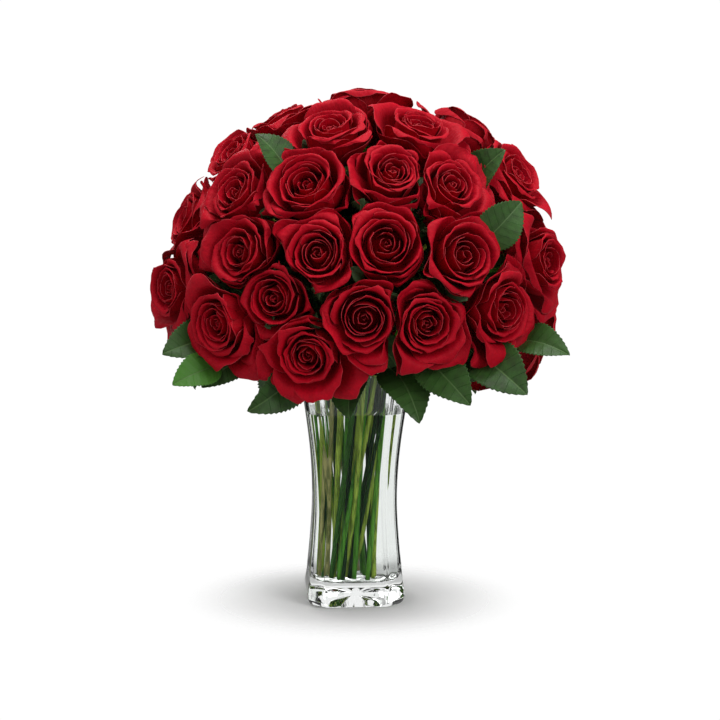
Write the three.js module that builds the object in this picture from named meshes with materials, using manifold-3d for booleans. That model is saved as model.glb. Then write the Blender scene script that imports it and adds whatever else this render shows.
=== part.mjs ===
// Cut red roses in a moulded glass vase of water. Millimetres, +Z up, origin at the centre of the
// vase's foot. The front of the bouquet faces -Y.
import * as THREE from "three";
import Module from "manifold-3d";

const wasm = await Module();
wasm.setup();

// Driving dimensions
const FIT_GAP = 0.35; // between two pieces that touch on the real thing
const VASE_HEIGHT = 250;
const VASE_TURN = 4; // degrees that the square vase is turned about Z
const FLOOR_HEIGHT = 24; // thickness of the solid glass foot
const WALL = 5;
const WATER_LEVEL = 205;
const STEM_RADIUS = 2.5;
const NECK_RADIUS = 2;
const BLOOM_WIDTH = 96; // of a rose at scale 1
const BLOOM_DEPTH = 54; // from its calyx to its face
const PETAL_THICKNESS = 1;
const LEAF_THICKNESS = 0.8;
const NEIGHBOUR_GAP = 1.9; // between the middle surfaces of petals of two roses that press together

const PRESS_REACH = 130; // roses whose faces are nearer than this press on each other
const PRESS_SOFTNESS = 8;
const CALYX_LENGTH = 12;
const CALYX = [{ drop: 2.5, radius: 5.4 }, { drop: FIT_GAP, radius: 4.6 }]; // its rings, below the bloom
const SEPAL_LENGTH = 20;
const SEPAL_DROOP = 3;
const MOUTH_RADIUS = 40; // of the bunch of stems where it leaves the vase
const MOUTH_FAN = 0.8; // share of that radius that the stems aim at before they make room for each other
const FOOT_SHARE = 0.72; // the bunch's radius at the vase's floor, against that at its mouth
const STEM_TWIST = 60; // degrees that the bunch turns between the vase's floor and its mouth
const STEM_SPACING = 16; // between pairs of stems at the mouth
const CROSSING_HEIGHT = 118; // where the stems of a pair cross
const CROSSING_SPREAD = 4.5; // from each stem of a pair to their middle, at the mouth
const CROSSING_ASIDE = 1.9; // the same, square to that, all the way: the two touch where they cross
const BEND_REACH = 0.4; // share of the way to its bloom over which a stem holds its direction at each end
const STEM_SIDES = 5;

// The centres of the rose faces lie on this dome, which is deeper in front than behind.
const DOME = { centre: new THREE.Vector3(7, 0, 325), across: 198, front: 172, back: 150, up: 206 };

// The roses, two to a row: the stems of a row lean on each other in the vase. The last one is alone.
// Each is [turn, rise, reach, width, openness, spin]. Turn is in degrees from the front towards the
// right, rise in degrees above the dome's middle, reach in mm out from the dome.
const ROSE_ROWS = [
  [[-20, 62, 4, 96, 0.75, 10], [44, 63, 4, 102, 0.9, 80]],
  [[-105, 63, 12, 98, 0.85, 30], [178, 78, 12, 102, 1, 200]],
  [[105, 54, 20, 104, 0.9, 60], [83, 37, 22, 98, 0.9, 140]],
  [[-90, 47, 12, 90, 0.75, 20], [-92, 23, 14, 98, 0.95, 75]],
  [[-52, 34, 4, 94, 0.8, 115], [-41, 16, 2, 90, 0.7, 40]],
  [[-21, 38, 4, 102, 0.95, 15], [-13, 16, 6, 90, 0.75, 60]],
  [[13, 42, 4, 94, 0.85, 100], [8, 19, 4, 98, 0.95, 130]],
  [[37, 37, 2, 96, 0.95, 45], [33, 15, 6, 94, 0.9, 10]],
  [[72, 11, 21, 98, 1, 35], [48, -1, 6, 96, 0.85, 85]],
  [[-80, 3, 19, 98, 0.8, 50], [-48, -5, 6, 94, 0.85, 120]],
  [[-28, 3, -6, 92, 0.8, 25], [-16, -13, 5, 90, 0.75, 70]],
  [[1, -2, 5, 98, 0.9, 0], [20, -4, 2, 92, 0.85, 95]],
  [[-150, 46, 2, 106, 0.9, 50], [-168, 19, 2, 108, 0.95, 20]],
  [[158, 48, 2, 106, 0.95, 110], [152, 16, 2, 108, 0.9, 65]],
  [[-128, 18, 4, 106, 0.9, 95], [-114, -9, 4, 104, 1, 15]],
  [[111, 18, 6, 106, 0.85, 130], [98, -11, 6, 104, 0.9, 55]],
  [[-150, -10, 2, 106, 0.85, 35], [172, -11, 2, 106, 0.95, 105]],
  [[135, -12, 2, 108, 0.95, 75]],
];
const FRONT_ROSES = 24; // the first ones, which have the most petals
const PETALS = { front: 8, back: 6 };

// Leaves: [rose whose stem carries it, share of the way from the vase's mouth to that bloom, turn of
// the leaf's tip about the vase in degrees, its distance from the vase's axis, its height, the
// blade's length, its roll in degrees].
const LEAVES = [
  ["rose_30", 0.6, -66, 212, 274, 66, -50],
  ["rose_20", 0.4, -60, 206, 236, 54, -50],
  ["rose_20", 0.45, -60, 178, 240, 70, -50],
  ["rose_22", 0.5, -38, 172, 226, 80, -60],
  ["rose_23", 0.2, -2, 125, 214, 62, 20],
  ["rose_24", 0.3, 26, 150, 211, 80, 15],
  ["rose_24", 0.6, 40, 180, 229, 76, 45],
  ["rose_18", 0.6, 51, 220, 240, 80, 45],
  ["rose_32", 0.6, 66, 238, 274, 66, 45],
  ["rose_17", 0.8, 61, 195, 427, 76, 60],
  ["rose_6", 0.8, 69, 164, 479, 62, 80],
  ["rose_11", 0.8, -55, 112, 494, 64, -85],
  ["rose_11", 0.6, 8, 81, 452, 70, 80],
  ["rose_15", 0.6, 36, 104, 440, 62, 80],
  ["rose_10", 0.6, -43, 117, 405, 66, -80],
  ["rose_20", 0.6, -68, 160, 350, 66, -80],
  ["rose_16", 0.65, 61, 143, 415, 66, 80],
  ["rose_12", 0.55, -12, 97, 362, 60, -80],
  ["rose_24", 0.5, 32, 112, 352, 60, 80],
  ["rose_18", 0.6, 53, 140, 348, 60, 80],
  ["rose_32", 0.35, 92, 170, 225, 76, 10],
  ["rose_35", 0.3, 122, 158, 210, 78, -12],
  ["rose_34", 0.2, 160, 155, 198, 76, 10],
  ["rose_33", 0.25, -140, 155, 198, 78, -10],
  ["rose_30", 0.35, -122, 172, 226, 76, 12],
  ["rose_19", 0.35, -96, 172, 224, 74, -8],
  ["rose_26", 0.65, 175, 88, 428, 62, 80],
  ["rose_28", 0.6, 168, 108, 345, 60, 80],
  ["rose_29", 0.6, -140, 118, 360, 60, -80],
];

const degrees = THREE.MathUtils.degToRad;
const mix = THREE.MathUtils.lerp;
const UP = new THREE.Vector3(0, 0, 1);

// Solids: closed triangle meshes, joined and cut by manifold-3d

// The solid of points and the triangles that join them.
function solid(points, triangles) {
  const vertProperties = new Float32Array(points.flatMap((p) => [p.x, p.y, p.z]));
  return new wasm.Manifold(
    new wasm.Mesh({ numProp: 3, vertProperties, triVerts: new Uint32Array(triangles.flat()) }),
  );
}

// The solid that passes through rings of points, closed by a fan at each end. The faces between the
// ring of the number given and the next one can be drawn out to spikes.
function loft(rings, spiked, spikes) {
  const sides = rings[0].length;
  const points = rings.flat();
  const triangles = [];
  for (let r = 0; r + 1 < rings.length; r++)
    for (let i = 0; i < sides; i++) {
      const a = r * sides + i;
      const b = r * sides + ((i + 1) % sides);
      if (r === spiked) {
        const tip = points.push(spikes[i]) - 1;
        triangles.push([a, b, tip], [b, b + sides, tip], [b + sides, a + sides, tip], [a + sides, a, tip]);
      } else triangles.push([a, b, b + sides], [a, b + sides, a + sides]);
    }
  const last = (rings.length - 1) * sides;
  const middle = (ring) => ring.reduce((sum, p) => sum.add(p), new THREE.Vector3()).divideScalar(sides);
  points.push(middle(rings[0]), middle(rings.at(-1)));
  for (let i = 0; i < sides; i++) {
    const j = (i + 1) % sides;
    triangles.push([points.length - 2, j, i], [points.length - 1, last + i, last + j]);
  }
  return solid(points, triangles);
}

// A sheet is a list of rows of points that may differ in number. Each row is { points, shares }, with
// the place of each of its points along it as a share from first to last.
const evenRow = (points) => ({ points, shares: points.map((_, i) => i / (points.length - 1)) });

// The triangles between two rows of numbered points.
function strip(low, high, lowShares, highShares) {
  const triangles = [];
  let [i, j] = [0, 0];
  while (i < low.length - 1 || j < high.length - 1) {
    const lowNext = lowShares[i + 1] ?? Infinity;
    const highNext = highShares[j + 1] ?? Infinity;
    if (lowNext <= highNext) triangles.push([low[i], low[++i], high[j]]);
    else triangles.push([low[i], high[j + 1], high[j++]]);
  }
  return triangles;
}

// The point of a row that is nearest to a share along it.
function nearest({ points, shares }, share) {
  const misses = shares.map((each) => Math.abs(each - share));
  return points[misses.indexOf(Math.min(...misses))];
}

function sheetNormals(rows) {
  return rows.map(({ points, shares }, r) =>
    points.map((_, c) => {
      const across = points[Math.min(c + 1, points.length - 1)].clone().sub(points[Math.max(c - 1, 0)]);
      const next = nearest(rows[Math.min(r + 1, rows.length - 1)], shares[c]);
      const along = next.clone().sub(nearest(rows[Math.max(r - 1, 0)], shares[c]));
      return across.cross(along).normalize();
    }),
  );
}

// Adds a sheet to a mesh, with thickness. Its first row stands on four points of the mesh, the two
// of its outer face and the two of its inner one, or is closed like the rest of its rim.
function addSheet(mesh, rows, thickness, root) {
  const normals = sheetNormals(rows);
  const addFace = (offset) =>
    rows.map(({ points }, r) =>
      points.map((p, c) => mesh.points.push(p.clone().addScaledVector(normals[r][c], offset)) - 1),
    );
  const outer = addFace(thickness / 2);
  const inner = addFace(-thickness / 2);
  const shares = rows.map((row) => row.shares);
  if (root) {
    outer.unshift(root.outer);
    inner.unshift(root.inner);
    shares.unshift([0, 1]);
  }
  for (let r = 0; r + 1 < outer.length; r++) {
    mesh.triangles.push(...strip(outer[r], outer[r + 1], shares[r], shares[r + 1]));
    const under = strip(inner[r], inner[r + 1], shares[r], shares[r + 1]);
    mesh.triangles.push(...under.map(([a, b, c]) => [a, c, b]));
  }
  const edge = (face) => {
    const right = face.map((row) => row.at(-1));
    const top = face.at(-1).slice(0, -1).reverse();
    const left = face.slice(0, -1).map((row) => row[0]).reverse();
    return [...right, ...top, ...left, ...(root ? [] : face[0].slice(1))];
  };
  const [front, back] = [edge(outer), edge(inner)];
  for (let i = 0; i + 1 < front.length; i++)
    mesh.triangles.push([front[i], back[i], back[i + 1]], [front[i], back[i + 1], front[i + 1]]);
}

// The rings of a tube of the given radii along a line of points.
function tubeRings(line, radii, sides) {
  const tangents = line.map((p, i) =>
    line[Math.min(i + 1, line.length - 1)].clone().sub(line[Math.max(i - 1, 0)]).normalize(),
  );
  let side = new THREE.Vector3(1, 0, 0);
  return line.map((p, i) => {
    side = side.clone().addScaledVector(tangents[i], -side.dot(tangents[i])).normalize();
    const other = tangents[i].clone().cross(side);
    return Array.from({ length: sides }, (_, k) => {
      const angle = (2 * Math.PI * k) / sides;
      return p
        .clone()
        .addScaledVector(side, radii[i] * Math.cos(angle))
        .addScaledVector(other, radii[i] * Math.sin(angle));
    });
  });
}

// The vase: a waisted square tumbler with wide cut corners and a thick clear foot

// Half the width of the outside at each height, from the foot to the rim.
const VASE_PROFILE = [
  [0, 48], [5, 50.4], [28, 49.2], [66, 45.9], [108, 43.7], [150, 45.1], [190, 49.5], [225, 54.8],
  [VASE_HEIGHT, 59.2],
];
const CAVITY_PROFILE = [[FLOOR_HEIGHT, 36], [FLOOR_HEIGHT + 9, 43]]; // its rounded floor
const FACE_SHARE = 0.7; // half a face's width, against half the vase's

// Half the width at a height, read from a profile.
function widthAt(profile, height) {
  const next = Math.max(1, profile.findIndex(([z]) => z >= height));
  const [[z0, w0], [z1, w1]] = [profile[next - 1], profile[next]];
  return mix(w0, w1, (height - z0) / (z1 - z0));
}

// The vase's cross-section at a height.
function squareRing(half, height) {
  const quarter = [[FACE_SHARE, -1], [1, -FACE_SHARE]];
  return [0, 1, 2, 3].flatMap((turns) =>
    quarter.map(([x, y]) =>
      new THREE.Vector3(x * half, y * half, height).applyAxisAngle(UP, degrees(90 * turns + VASE_TURN)),
    ),
  );
}

// Heights and half widths of the inside, from its floor to the rim.
const INSIDE = [
  ...CAVITY_PROFILE,
  ...VASE_PROFILE.filter(([z]) => z > CAVITY_PROFILE.at(-1)[0]).map(([z, half]) => [z, half - WALL]),
];

function vase() {
  const outer = VASE_PROFILE.map(([z, half]) => squareRing(half, z));
  const inner = INSIDE.map(([z, half]) => squareRing(half, z)).reverse();
  return loft([...outer, ...inner]);
}

function water(stemHoles) {
  const heights = [...INSIDE.filter(([z]) => z < WATER_LEVEL).map(([z]) => z), WATER_LEVEL];
  const body = loft(
    heights.map((z, i) => squareRing(widthAt(INSIDE, z) - FIT_GAP, i === 0 ? z + FIT_GAP : z)),
  );
  return stemHoles.reduce((left, hole) => left.subtract(hole), body);
}

// Where the roses and their stems stand

// A rose with its face on the dome, facing straight out of it.
function placeRose([turn, rise, reach, width, openness, spin], name) {
  const [around, up] = [degrees(turn), degrees(rise)];
  const deep = Math.cos(around) > 0 ? DOME.front : DOME.back;
  const out = new THREE.Vector3(
    DOME.across * Math.cos(up) * Math.sin(around),
    -deep * Math.cos(up) * Math.cos(around),
    DOME.up * Math.sin(up),
  );
  const slope = new THREE.Vector3(DOME.across, deep, DOME.up);
  const facing = out.clone().divide(slope).divide(slope).normalize();
  const face = out.add(DOME.centre).addScaledVector(facing, reach);
  const scale = width / BLOOM_WIDTH;
  const base = face.clone().addScaledVector(facing, -BLOOM_DEPTH * scale);
  const turned = new THREE.Quaternion().setFromUnitVectors(UP, facing);
  turned.multiply(new THREE.Quaternion().setFromAxisAngle(UP, degrees(spin)));
  const pose = new THREE.Matrix4().compose(base, turned, new THREE.Vector3(scale, scale, scale));
  return { name, facing, face, base, pose, openness };
}

let roseCount = 0;
const ROWS = ROSE_ROWS.map((row) => row.map((numbers) => placeRose(numbers, `rose_${++roseCount}`)));
const ROSES = ROWS.flat();

// Points in a level circle, moved apart until each keeps its distance from the rest.
const SPREAD_ROUNDS = 300;
function spread(points, spacing, radius) {
  for (let round = 0; round < SPREAD_ROUNDS; round++)
    for (const [i, a] of points.entries()) {
      for (const b of points.slice(i + 1)) {
        const push = b.clone().sub(a);
        const lack = spacing - push.length();
        if (lack <= 0) continue;
        push.setLength(lack / 2);
        a.sub(push);
        b.add(push);
      }
      a.clampLength(0, radius);
    }
  return points;
}

// Where a direction out of the dome's middle goes through the vase's mouth.
function mouthPoint(rose) {
  const out = rose.face.clone().sub(DOME.centre).normalize();
  const share = Math.sqrt((1 - out.z) / (out.x ** 2 + out.y ** 2));
  return new THREE.Vector3(out.x, out.y, 0).multiplyScalar(share * MOUTH_RADIUS * MOUTH_FAN);
}

// The stems: straight in the vase, where those of a row cross, and bent to their blooms above it.
const mouthCentres = spread(
  ROWS.map((row) => {
    const sum = row.reduce((total, rose) => total.add(mouthPoint(rose)), new THREE.Vector3());
    return sum.divideScalar(row.length);
  }),
  STEM_SPACING,
  MOUTH_RADIUS,
);

ROWS.forEach((row, r) => {
  const apart = mouthPoint(row[0]).sub(mouthPoint(row.at(-1)));
  row.forEach((rose, k) => {
    const side = row.length === 1 ? 0 : 1 - 2 * k;
    const across = apart.clone().setLength(side * CROSSING_SPREAD);
    const aside = apart.clone().setLength(side * CROSSING_ASIDE).applyAxisAngle(UP, Math.PI / 2);
    const at = (z) => {
      const share = (z - FLOOR_HEIGHT) / (VASE_HEIGHT - FLOOR_HEIGHT);
      const mouth = mouthCentres[r];
      const foot = mouth.clone().multiplyScalar(FOOT_SHARE).applyAxisAngle(UP, degrees(-STEM_TWIST));
      const centre = foot.lerp(mouth, share).setZ(z).add(aside);
      return centre.addScaledVector(across, (z - CROSSING_HEIGHT) / (VASE_HEIGHT - CROSSING_HEIGHT));
    };
    const top = at(VASE_HEIGHT);
    const slant = top.clone().sub(at(FLOOR_HEIGHT)).normalize();
    const neck = rose.base.clone().addScaledVector(rose.facing, -CALYX_LENGTH);
    const bend = BEND_REACH * top.distanceTo(neck);
    rose.stemAt = at;
    rose.bend = new THREE.CubicBezierCurve3(
      top,
      top.clone().addScaledVector(slant, bend),
      neck.clone().addScaledVector(rose.facing, -bend),
      neck,
    );
  });
});

// The plane halfway between two roses, where they press on each other.
function pressPlane(rose, other) {
  const middle = other.face.clone().add(rose.face).divideScalar(2);
  const inward = other.base.clone().add(rose.base).divideScalar(2).sub(middle).normalize();
  const towards = other.face.clone().sub(rose.face);
  towards.addScaledVector(inward, -towards.dot(inward)).normalize();
  return new THREE.Plane().setFromNormalAndCoplanarPoint(towards, middle);
}

for (const rose of ROSES) {
  const near = ROSES.filter((other) => other !== rose && other.face.distanceTo(rose.face) < PRESS_REACH);
  rose.planes = near.map((other) => pressPlane(rose, other));
}

// A point of a petal, moved back softly where it would enter a neighbour.
const PRESS_ROUNDS = 3;
function press(point, planes) {
  for (let round = 0; round < PRESS_ROUNDS; round++)
    for (const plane of planes) {
      const past = plane.distanceToPoint(point) + NEIGHBOUR_GAP / 2 + PRESS_SOFTNESS;
      const eased = PRESS_SOFTNESS * (1 - Math.exp(-past / PRESS_SOFTNESS));
      if (past > 0) point.addScaledVector(plane.normal, eased - past);
    }
  return point;
}

// Blooms

// Half a petal's angle round the bloom, and the share of it that the petal keeps at its tip.
const PETAL_SPREAD = { inner: 64, outer: 52, tip: 0.85 };

// The middle of a petal follows a Bezier curve up from its foot. These are the curve's other points,
// as [distance from the bloom's axis, height], in the innermost petal and in the outermost one of a
// bud, and the powers of a petal's place by which it goes from the first to the second.
const PETAL_FOOT = 6;
const INNER_PETAL = [[17, 14], [13, 45], [7, 51]];
const OUTER_PETAL = [[44, 6], [42, 60], [50, 51]];
const PETAL_POWERS = [1, 1.2, 1.3];
const OPENING = new THREE.Vector2(8, -16); // what the outermost tip moves by in a fully open rose
const MIDDLE_RISE = 8; // of the petals between, four times what the middle one's tip gains
const TIP_POINT = 0.2; // share of a petal's length by which its corners stay below its tip
const SWIRL = 0.06; // share by which its one side stands further out than its middle

// A point of a petal: across it from -1 to 1, and up it from 0 to 1. Its place goes from 0 for the
// innermost petal to 1 for the outermost, which reaches further out in a rose that is more open.
function petalPoint(openness, place, turn, foot, across, up) {
  const ends = INNER_PETAL.map((inner, i) =>
    new THREE.Vector2(...inner).lerp(new THREE.Vector2(...OUTER_PETAL[i]), place ** PETAL_POWERS[i]),
  );
  ends[2].addScaledVector(OPENING, openness * place ** 3);
  ends[2].y += MIDDLE_RISE * place * (1 - place);
  const curve = new THREE.CubicBezierCurve(new THREE.Vector2(PETAL_FOOT, foot), ...ends);
  const { x: radius, y: height } = curve.getPoint(up * (1 - TIP_POINT * across ** 2));
  const kept = mix(1, PETAL_SPREAD.tip, Math.max(0, 2 * up - 1));
  const angle = degrees(turn + across * kept * mix(PETAL_SPREAD.inner, PETAL_SPREAD.outer, place));
  const out = radius * (1 + SWIRL * across);
  return new THREE.Vector3(out * Math.cos(angle), out * Math.sin(angle), height);
}

// The heart that the petals stand on, as a stack of five-sided rings: [radius, height].
const HEART_SIDES = 5;
const HEART_FOOT = [[6, 0], [7, 3], [7.2, 6], [7.2, 9], [7.4, 12], [7.6, 15]];
const HEART_TOP = [[10, 28], [6.5, 46]];
const HEART_TWIST = -13; // degrees from one ring to the next
const HEART_DOME = 2; // height of its top above its last ring
const OUTER_ROWS = [0.42, 0.78, 1]; // how far up a petal its rows of points stand
const INNER_ROWS = [0.5, 1];
const OUTER_PLACE = 0.75; // the petals from here on have the first of those

// A bloom: two petals stand on each step of its heart, the outermost lowest.
function bloom(rose, petals) {
  const profile = [...HEART_FOOT.slice(0, Math.ceil(petals / 2) + 1), ...HEART_TOP];
  const mesh = { points: [], triangles: [] };
  for (const [r, [radius, height]] of profile.entries())
    for (let i = 0; i < HEART_SIDES; i++) {
      const angle = degrees((360 * i) / HEART_SIDES + HEART_TWIST * r);
      const point = new THREE.Vector3(radius * Math.cos(angle), radius * Math.sin(angle), height);
      mesh.points.push(point.applyMatrix4(rose.pose));
    }
  for (const height of [0, HEART_TOP.at(-1)[1] + HEART_DOME])
    mesh.points.push(new THREE.Vector3(0, 0, height).applyMatrix4(rose.pose));
  const last = (profile.length - 1) * HEART_SIDES;
  const petalAt = new Map();
  for (let k = 0; k < petals; k++) petalAt.set(`${k >> 1} ${(2 * k) % HEART_SIDES}`, k);
  for (let r = 0; r + 1 < profile.length; r++)
    for (let i = 0; i < HEART_SIDES; i++) {
      const [a, b] = [r * HEART_SIDES + i, r * HEART_SIDES + ((i + 1) % HEART_SIDES)];
      const [d, e] = [a + HEART_SIDES, b + HEART_SIDES];
      const k = petalAt.get(`${r} ${i}`);
      if (k === undefined) {
        mesh.triangles.push([a, b, e], [a, e, d]);
        continue;
      }
      const place = 1 - k / (petals - 1);
      const turn = (360 * (i + 0.5)) / HEART_SIDES + HEART_TWIST * (r + 0.5);
      const foot = (profile[r][1] + profile[r + 1][1]) / 2;
      const pointAt = (across, up) => {
        const point = petalPoint(rose.openness, place, turn, foot, across, up);
        return press(point.applyMatrix4(rose.pose), rose.planes);
      };
      const heights = place > OUTER_PLACE ? OUTER_ROWS : INNER_ROWS;
      const rows = heights.map((up) => evenRow([-1, 0, 1].map((across) => pointAt(across, up))));
      addSheet(mesh, rows, PETAL_THICKNESS, { outer: [a, b], inner: [d, e] });
    }
  for (let i = 0; i < HEART_SIDES; i++) {
    const j = (i + 1) % HEART_SIDES;
    mesh.triangles.push([last + HEART_SIDES, j, i], [last + HEART_SIDES + 1, last + i, last + j]);
  }
  return solid(mesh.points, mesh.triangles);
}

// Stems with their calyces, and leaves

// Where a stem bends above the vase, as shares of its way from the vase's mouth to the bloom.
const BENDS = [0, 0.33, 0.67, 1];

// A point in the middle of a stem above the vase.
function stemPoint(rose, share) {
  const next = Math.max(1, BENDS.findIndex((bend) => bend >= share));
  const [from, to] = [BENDS[next - 1], BENDS[next]];
  return rose.bend.getPoint(from).lerp(rose.bend.getPoint(to), (share - from) / (to - from));
}

// A rose's stem, with the sepals drawn out of its calyx.
function stem(rose) {
  const line = [rose.stemAt(FLOOR_HEIGHT + 1), ...BENDS.map((t) => rose.bend.getPoint(t))];
  const radii = [STEM_RADIUS, ...BENDS.map((t) => mix(STEM_RADIUS, NECK_RADIUS, t))];
  for (const { drop, radius } of CALYX) {
    line.push(rose.base.clone().addScaledVector(rose.facing, -drop));
    radii.push(radius);
  }
  const rings = tubeRings(line, radii, STEM_SIDES);
  const spiked = rings.length - 2;
  const tips = rings[spiked].map((point, i) => {
    const out = point.clone().lerp(rings[spiked][(i + 1) % STEM_SIDES], 0.5).sub(line[spiked]);
    const tip = line[spiked].clone().addScaledVector(out.normalize(), SEPAL_LENGTH);
    return press(tip.addScaledVector(rose.facing, -SEPAL_DROOP), rose.planes);
  });
  return loft(rings, spiked, tips);
}

// A leaf's toothed edge from its base to its tip: [share of its length, half its width as such a
// share], and the shares of the points of its midrib.
const LEAF_EDGE = [
  [0, 0.025], [0.14, 0.25], [0.2, 0.23], [0.36, 0.36], [0.43, 0.32], [0.64, 0.31], [0.71, 0.24],
  [1, 0.012],
];
const STALK_HALF = 0.015; // half the width of a leaf's stalk, as a share of its length
const LEAF_MIDRIB = [0, 0.3, 0.65, 1];
const LEAF_ARCH = 0.09; // height of a leaf's arch, against its length
const LEAF_FOLD = 0.25; // rise of its halves from the midrib, against their width

function leaf([name, share, turn, out, height, length, roll]) {
  const rose = ROSES.find((each) => each.name === name);
  const root = stemPoint(rose, share);
  const tip = new THREE.Vector3(out * Math.sin(degrees(turn)), -out * Math.cos(degrees(turn)), height);
  const along = tip.clone().sub(root).normalize();
  const across = along.clone().cross(UP).normalize().applyAxisAngle(along, degrees(roll));
  const up = across.clone().cross(along);
  const stalk = 1 - tip.distanceTo(root) / length;
  const row = (side, line) => ({
    shares: line.map(([t]) => t),
    points: line.map(([t, half]) =>
      tip
        .clone()
        .addScaledVector(along, (t - 1) * length)
        .addScaledVector(across, side * half * length)
        .addScaledVector(up, (4 * LEAF_ARCH * Math.max(t, 0) * (1 - t) + LEAF_FOLD * half) * length),
    ),
  });
  const edge = [[stalk, STALK_HALF], ...LEAF_EDGE];
  const midrib = [stalk, ...LEAF_MIDRIB].map((t) => [t, 0]);
  const mesh = { points: [], triangles: [] };
  addSheet(mesh, [row(1, edge), row(0, midrib), row(-1, edge)], LEAF_THICKNESS);
  return solid(mesh.points, mesh.triangles);
}

// The whole

const CLEAR = { roughness: 0.05, transparent: true, opacity: 0.35 };
const GREEN = new THREE.MeshStandardMaterial({ color: 0x2f5a22, roughness: 0.6 });
const RED = new THREE.MeshStandardMaterial({ color: 0x9c0f1c, roughness: 0.7 });
const GLASS = new THREE.MeshStandardMaterial({ color: 0xdfe8e6, ...CLEAR });
const WATER = new THREE.MeshStandardMaterial({ color: 0xcfdcd6, ...CLEAR });

const vaseOfRoses = new THREE.Group();
vaseOfRoses.name = "vase_of_roses";

function add(name, body, material) {
  const { vertProperties, triVerts } = body.getMesh();
  const geometry = new THREE.BufferGeometry();
  geometry.setAttribute("position", new THREE.BufferAttribute(new Float32Array(vertProperties), 3));
  geometry.setIndex(new THREE.BufferAttribute(new Uint32Array(triVerts), 1));
  const mesh = new THREE.Mesh(geometry, material.clone());
  mesh.name = name;
  vaseOfRoses.add(mesh);
}

add("vase", vase(), GLASS);

const HOLE_RUN = 5; // how far a stem's hole runs past the water
const holes = ROSES.map((rose) => {
  const line = [rose.stemAt(FLOOR_HEIGHT - HOLE_RUN), rose.stemAt(WATER_LEVEL + HOLE_RUN)];
  return loft(tubeRings(line, [STEM_RADIUS + FIT_GAP, STEM_RADIUS + FIT_GAP], STEM_SIDES));
});
add("water", water(holes), WATER);

ROWS.forEach((row, r) => {
  const names = row.map((rose) => rose.name);
  const leaves = LEAVES.filter(([name]) => names.includes(name)).map(leaf);
  add(`stems_${r + 1}`, wasm.Manifold.union([...row.map(stem), ...leaves]), GREEN);
});

ROSES.forEach((rose, i) => {
  add(rose.name, bloom(rose, i < FRONT_ROSES ? PETALS.front : PETALS.back), RED);
});

export default vaseOfRoses;
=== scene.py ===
"""Cut red roses in a moulded glass vase of water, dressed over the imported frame.

Lengths are in millimetres until a mesh is made, which turns them into metres. +Z is up, and the front
of the bouquet faces -Y.
"""

import math

import bpy
import numpy as np
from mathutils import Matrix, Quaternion, Vector


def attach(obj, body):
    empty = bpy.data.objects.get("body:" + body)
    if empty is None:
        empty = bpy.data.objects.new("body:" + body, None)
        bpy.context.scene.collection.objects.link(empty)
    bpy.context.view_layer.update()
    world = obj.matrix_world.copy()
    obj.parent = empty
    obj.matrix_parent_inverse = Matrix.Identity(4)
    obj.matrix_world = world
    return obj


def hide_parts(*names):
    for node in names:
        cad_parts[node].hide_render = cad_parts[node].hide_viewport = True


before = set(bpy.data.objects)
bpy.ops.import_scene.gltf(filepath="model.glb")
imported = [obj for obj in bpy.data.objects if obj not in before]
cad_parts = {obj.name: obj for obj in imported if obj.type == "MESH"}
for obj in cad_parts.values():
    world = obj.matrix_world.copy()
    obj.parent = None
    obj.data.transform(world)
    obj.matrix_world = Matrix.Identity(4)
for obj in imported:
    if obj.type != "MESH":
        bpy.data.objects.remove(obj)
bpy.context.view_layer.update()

MM = 0.001
SEED = 24

# The vase and its water
VASE_HEIGHT = 250
VASE_TURN = 4  # degrees about Z
FLOOR_HEIGHT = 24  # thickness of the solid foot
WALL = 5
WATER_LEVEL = 205
VASE_PROFILE = [(0, 48), (5, 50.4), (28, 49.2), (66, 45.9), (108, 43.7), (150, 45.1), (190, 49.5),
                (225, 54.8), (VASE_HEIGHT, 59.2)]
GLASS_INDEX = 1.5
WATER_INDEX = 1.33
FACE_SHARE = 0.7  # half a face's width, against half the vase's

# The roses: [turn from the front, rise above the dome's middle, reach, width, openness, spin]
DOME_CENTRE = np.array([7.0, 0.0, 325.0])
DOME = {"across": 198, "front": 172, "back": 150, "up": 206}
BLOOM_WIDTH = 96
BLOOM_DEPTH = 54
RIGHT_HANDED = 0.6  # share of the blooms whose hearts wind that way
CUP_WIDTHS = (0.88, 1.02)  # of the round cups, against the widest
ROSE_ROWS = [
    [[-20, 62, 4, 96, 0.75, 10], [44, 63, 4, 102, 0.9, 80]],
    [[-105, 63, 12, 98, 0.85, 30], [178, 78, 12, 102, 1, 200]],
    [[105, 54, 20, 104, 0.9, 60], [83, 37, 22, 98, 0.9, 140]],
    [[-90, 47, 12, 90, 0.75, 20], [-92, 23, 14, 98, 0.95, 75]],
    [[-52, 34, 4, 94, 0.8, 115], [-41, 16, 2, 90, 0.7, 40]],
    [[-21, 38, 4, 102, 0.95, 15], [-13, 16, 6, 90, 0.75, 60]],
    [[13, 42, 4, 94, 0.85, 100], [8, 19, 4, 98, 0.95, 130]],
    [[37, 37, 2, 96, 0.95, 45], [33, 15, 6, 94, 0.9, 10]],
    [[72, 11, 21, 98, 1, 35], [48, -1, 6, 96, 0.85, 85]],
    [[-80, 3, 19, 98, 0.8, 50], [-48, -5, 6, 94, 0.85, 120]],
    [[-28, 3, -6, 92, 0.8, 25], [-16, -13, 5, 90, 0.75, 70]],
    [[1, -2, 5, 98, 0.9, 0], [20, -4, 2, 92, 0.85, 95]],
    [[-150, 46, 2, 106, 0.9, 50], [-168, 19, 2, 108, 0.95, 20]],
    [[158, 48, 2, 106, 0.95, 110], [152, 16, 2, 108, 0.9, 65]],
    [[-128, 18, 4, 106, 0.9, 95], [-114, -9, 4, 104, 1, 15]],
    [[111, 18, 6, 106, 0.85, 130], [98, -11, 6, 104, 0.9, 55]],
    [[-150, -10, 2, 106, 0.85, 35], [172, -11, 2, 106, 0.95, 105]],
    [[135, -12, 2, 108, 0.95, 75]],
]
FRONT_ROSES = 24
FRONT_PETALS = 21
BACK_PETALS = 20

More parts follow.
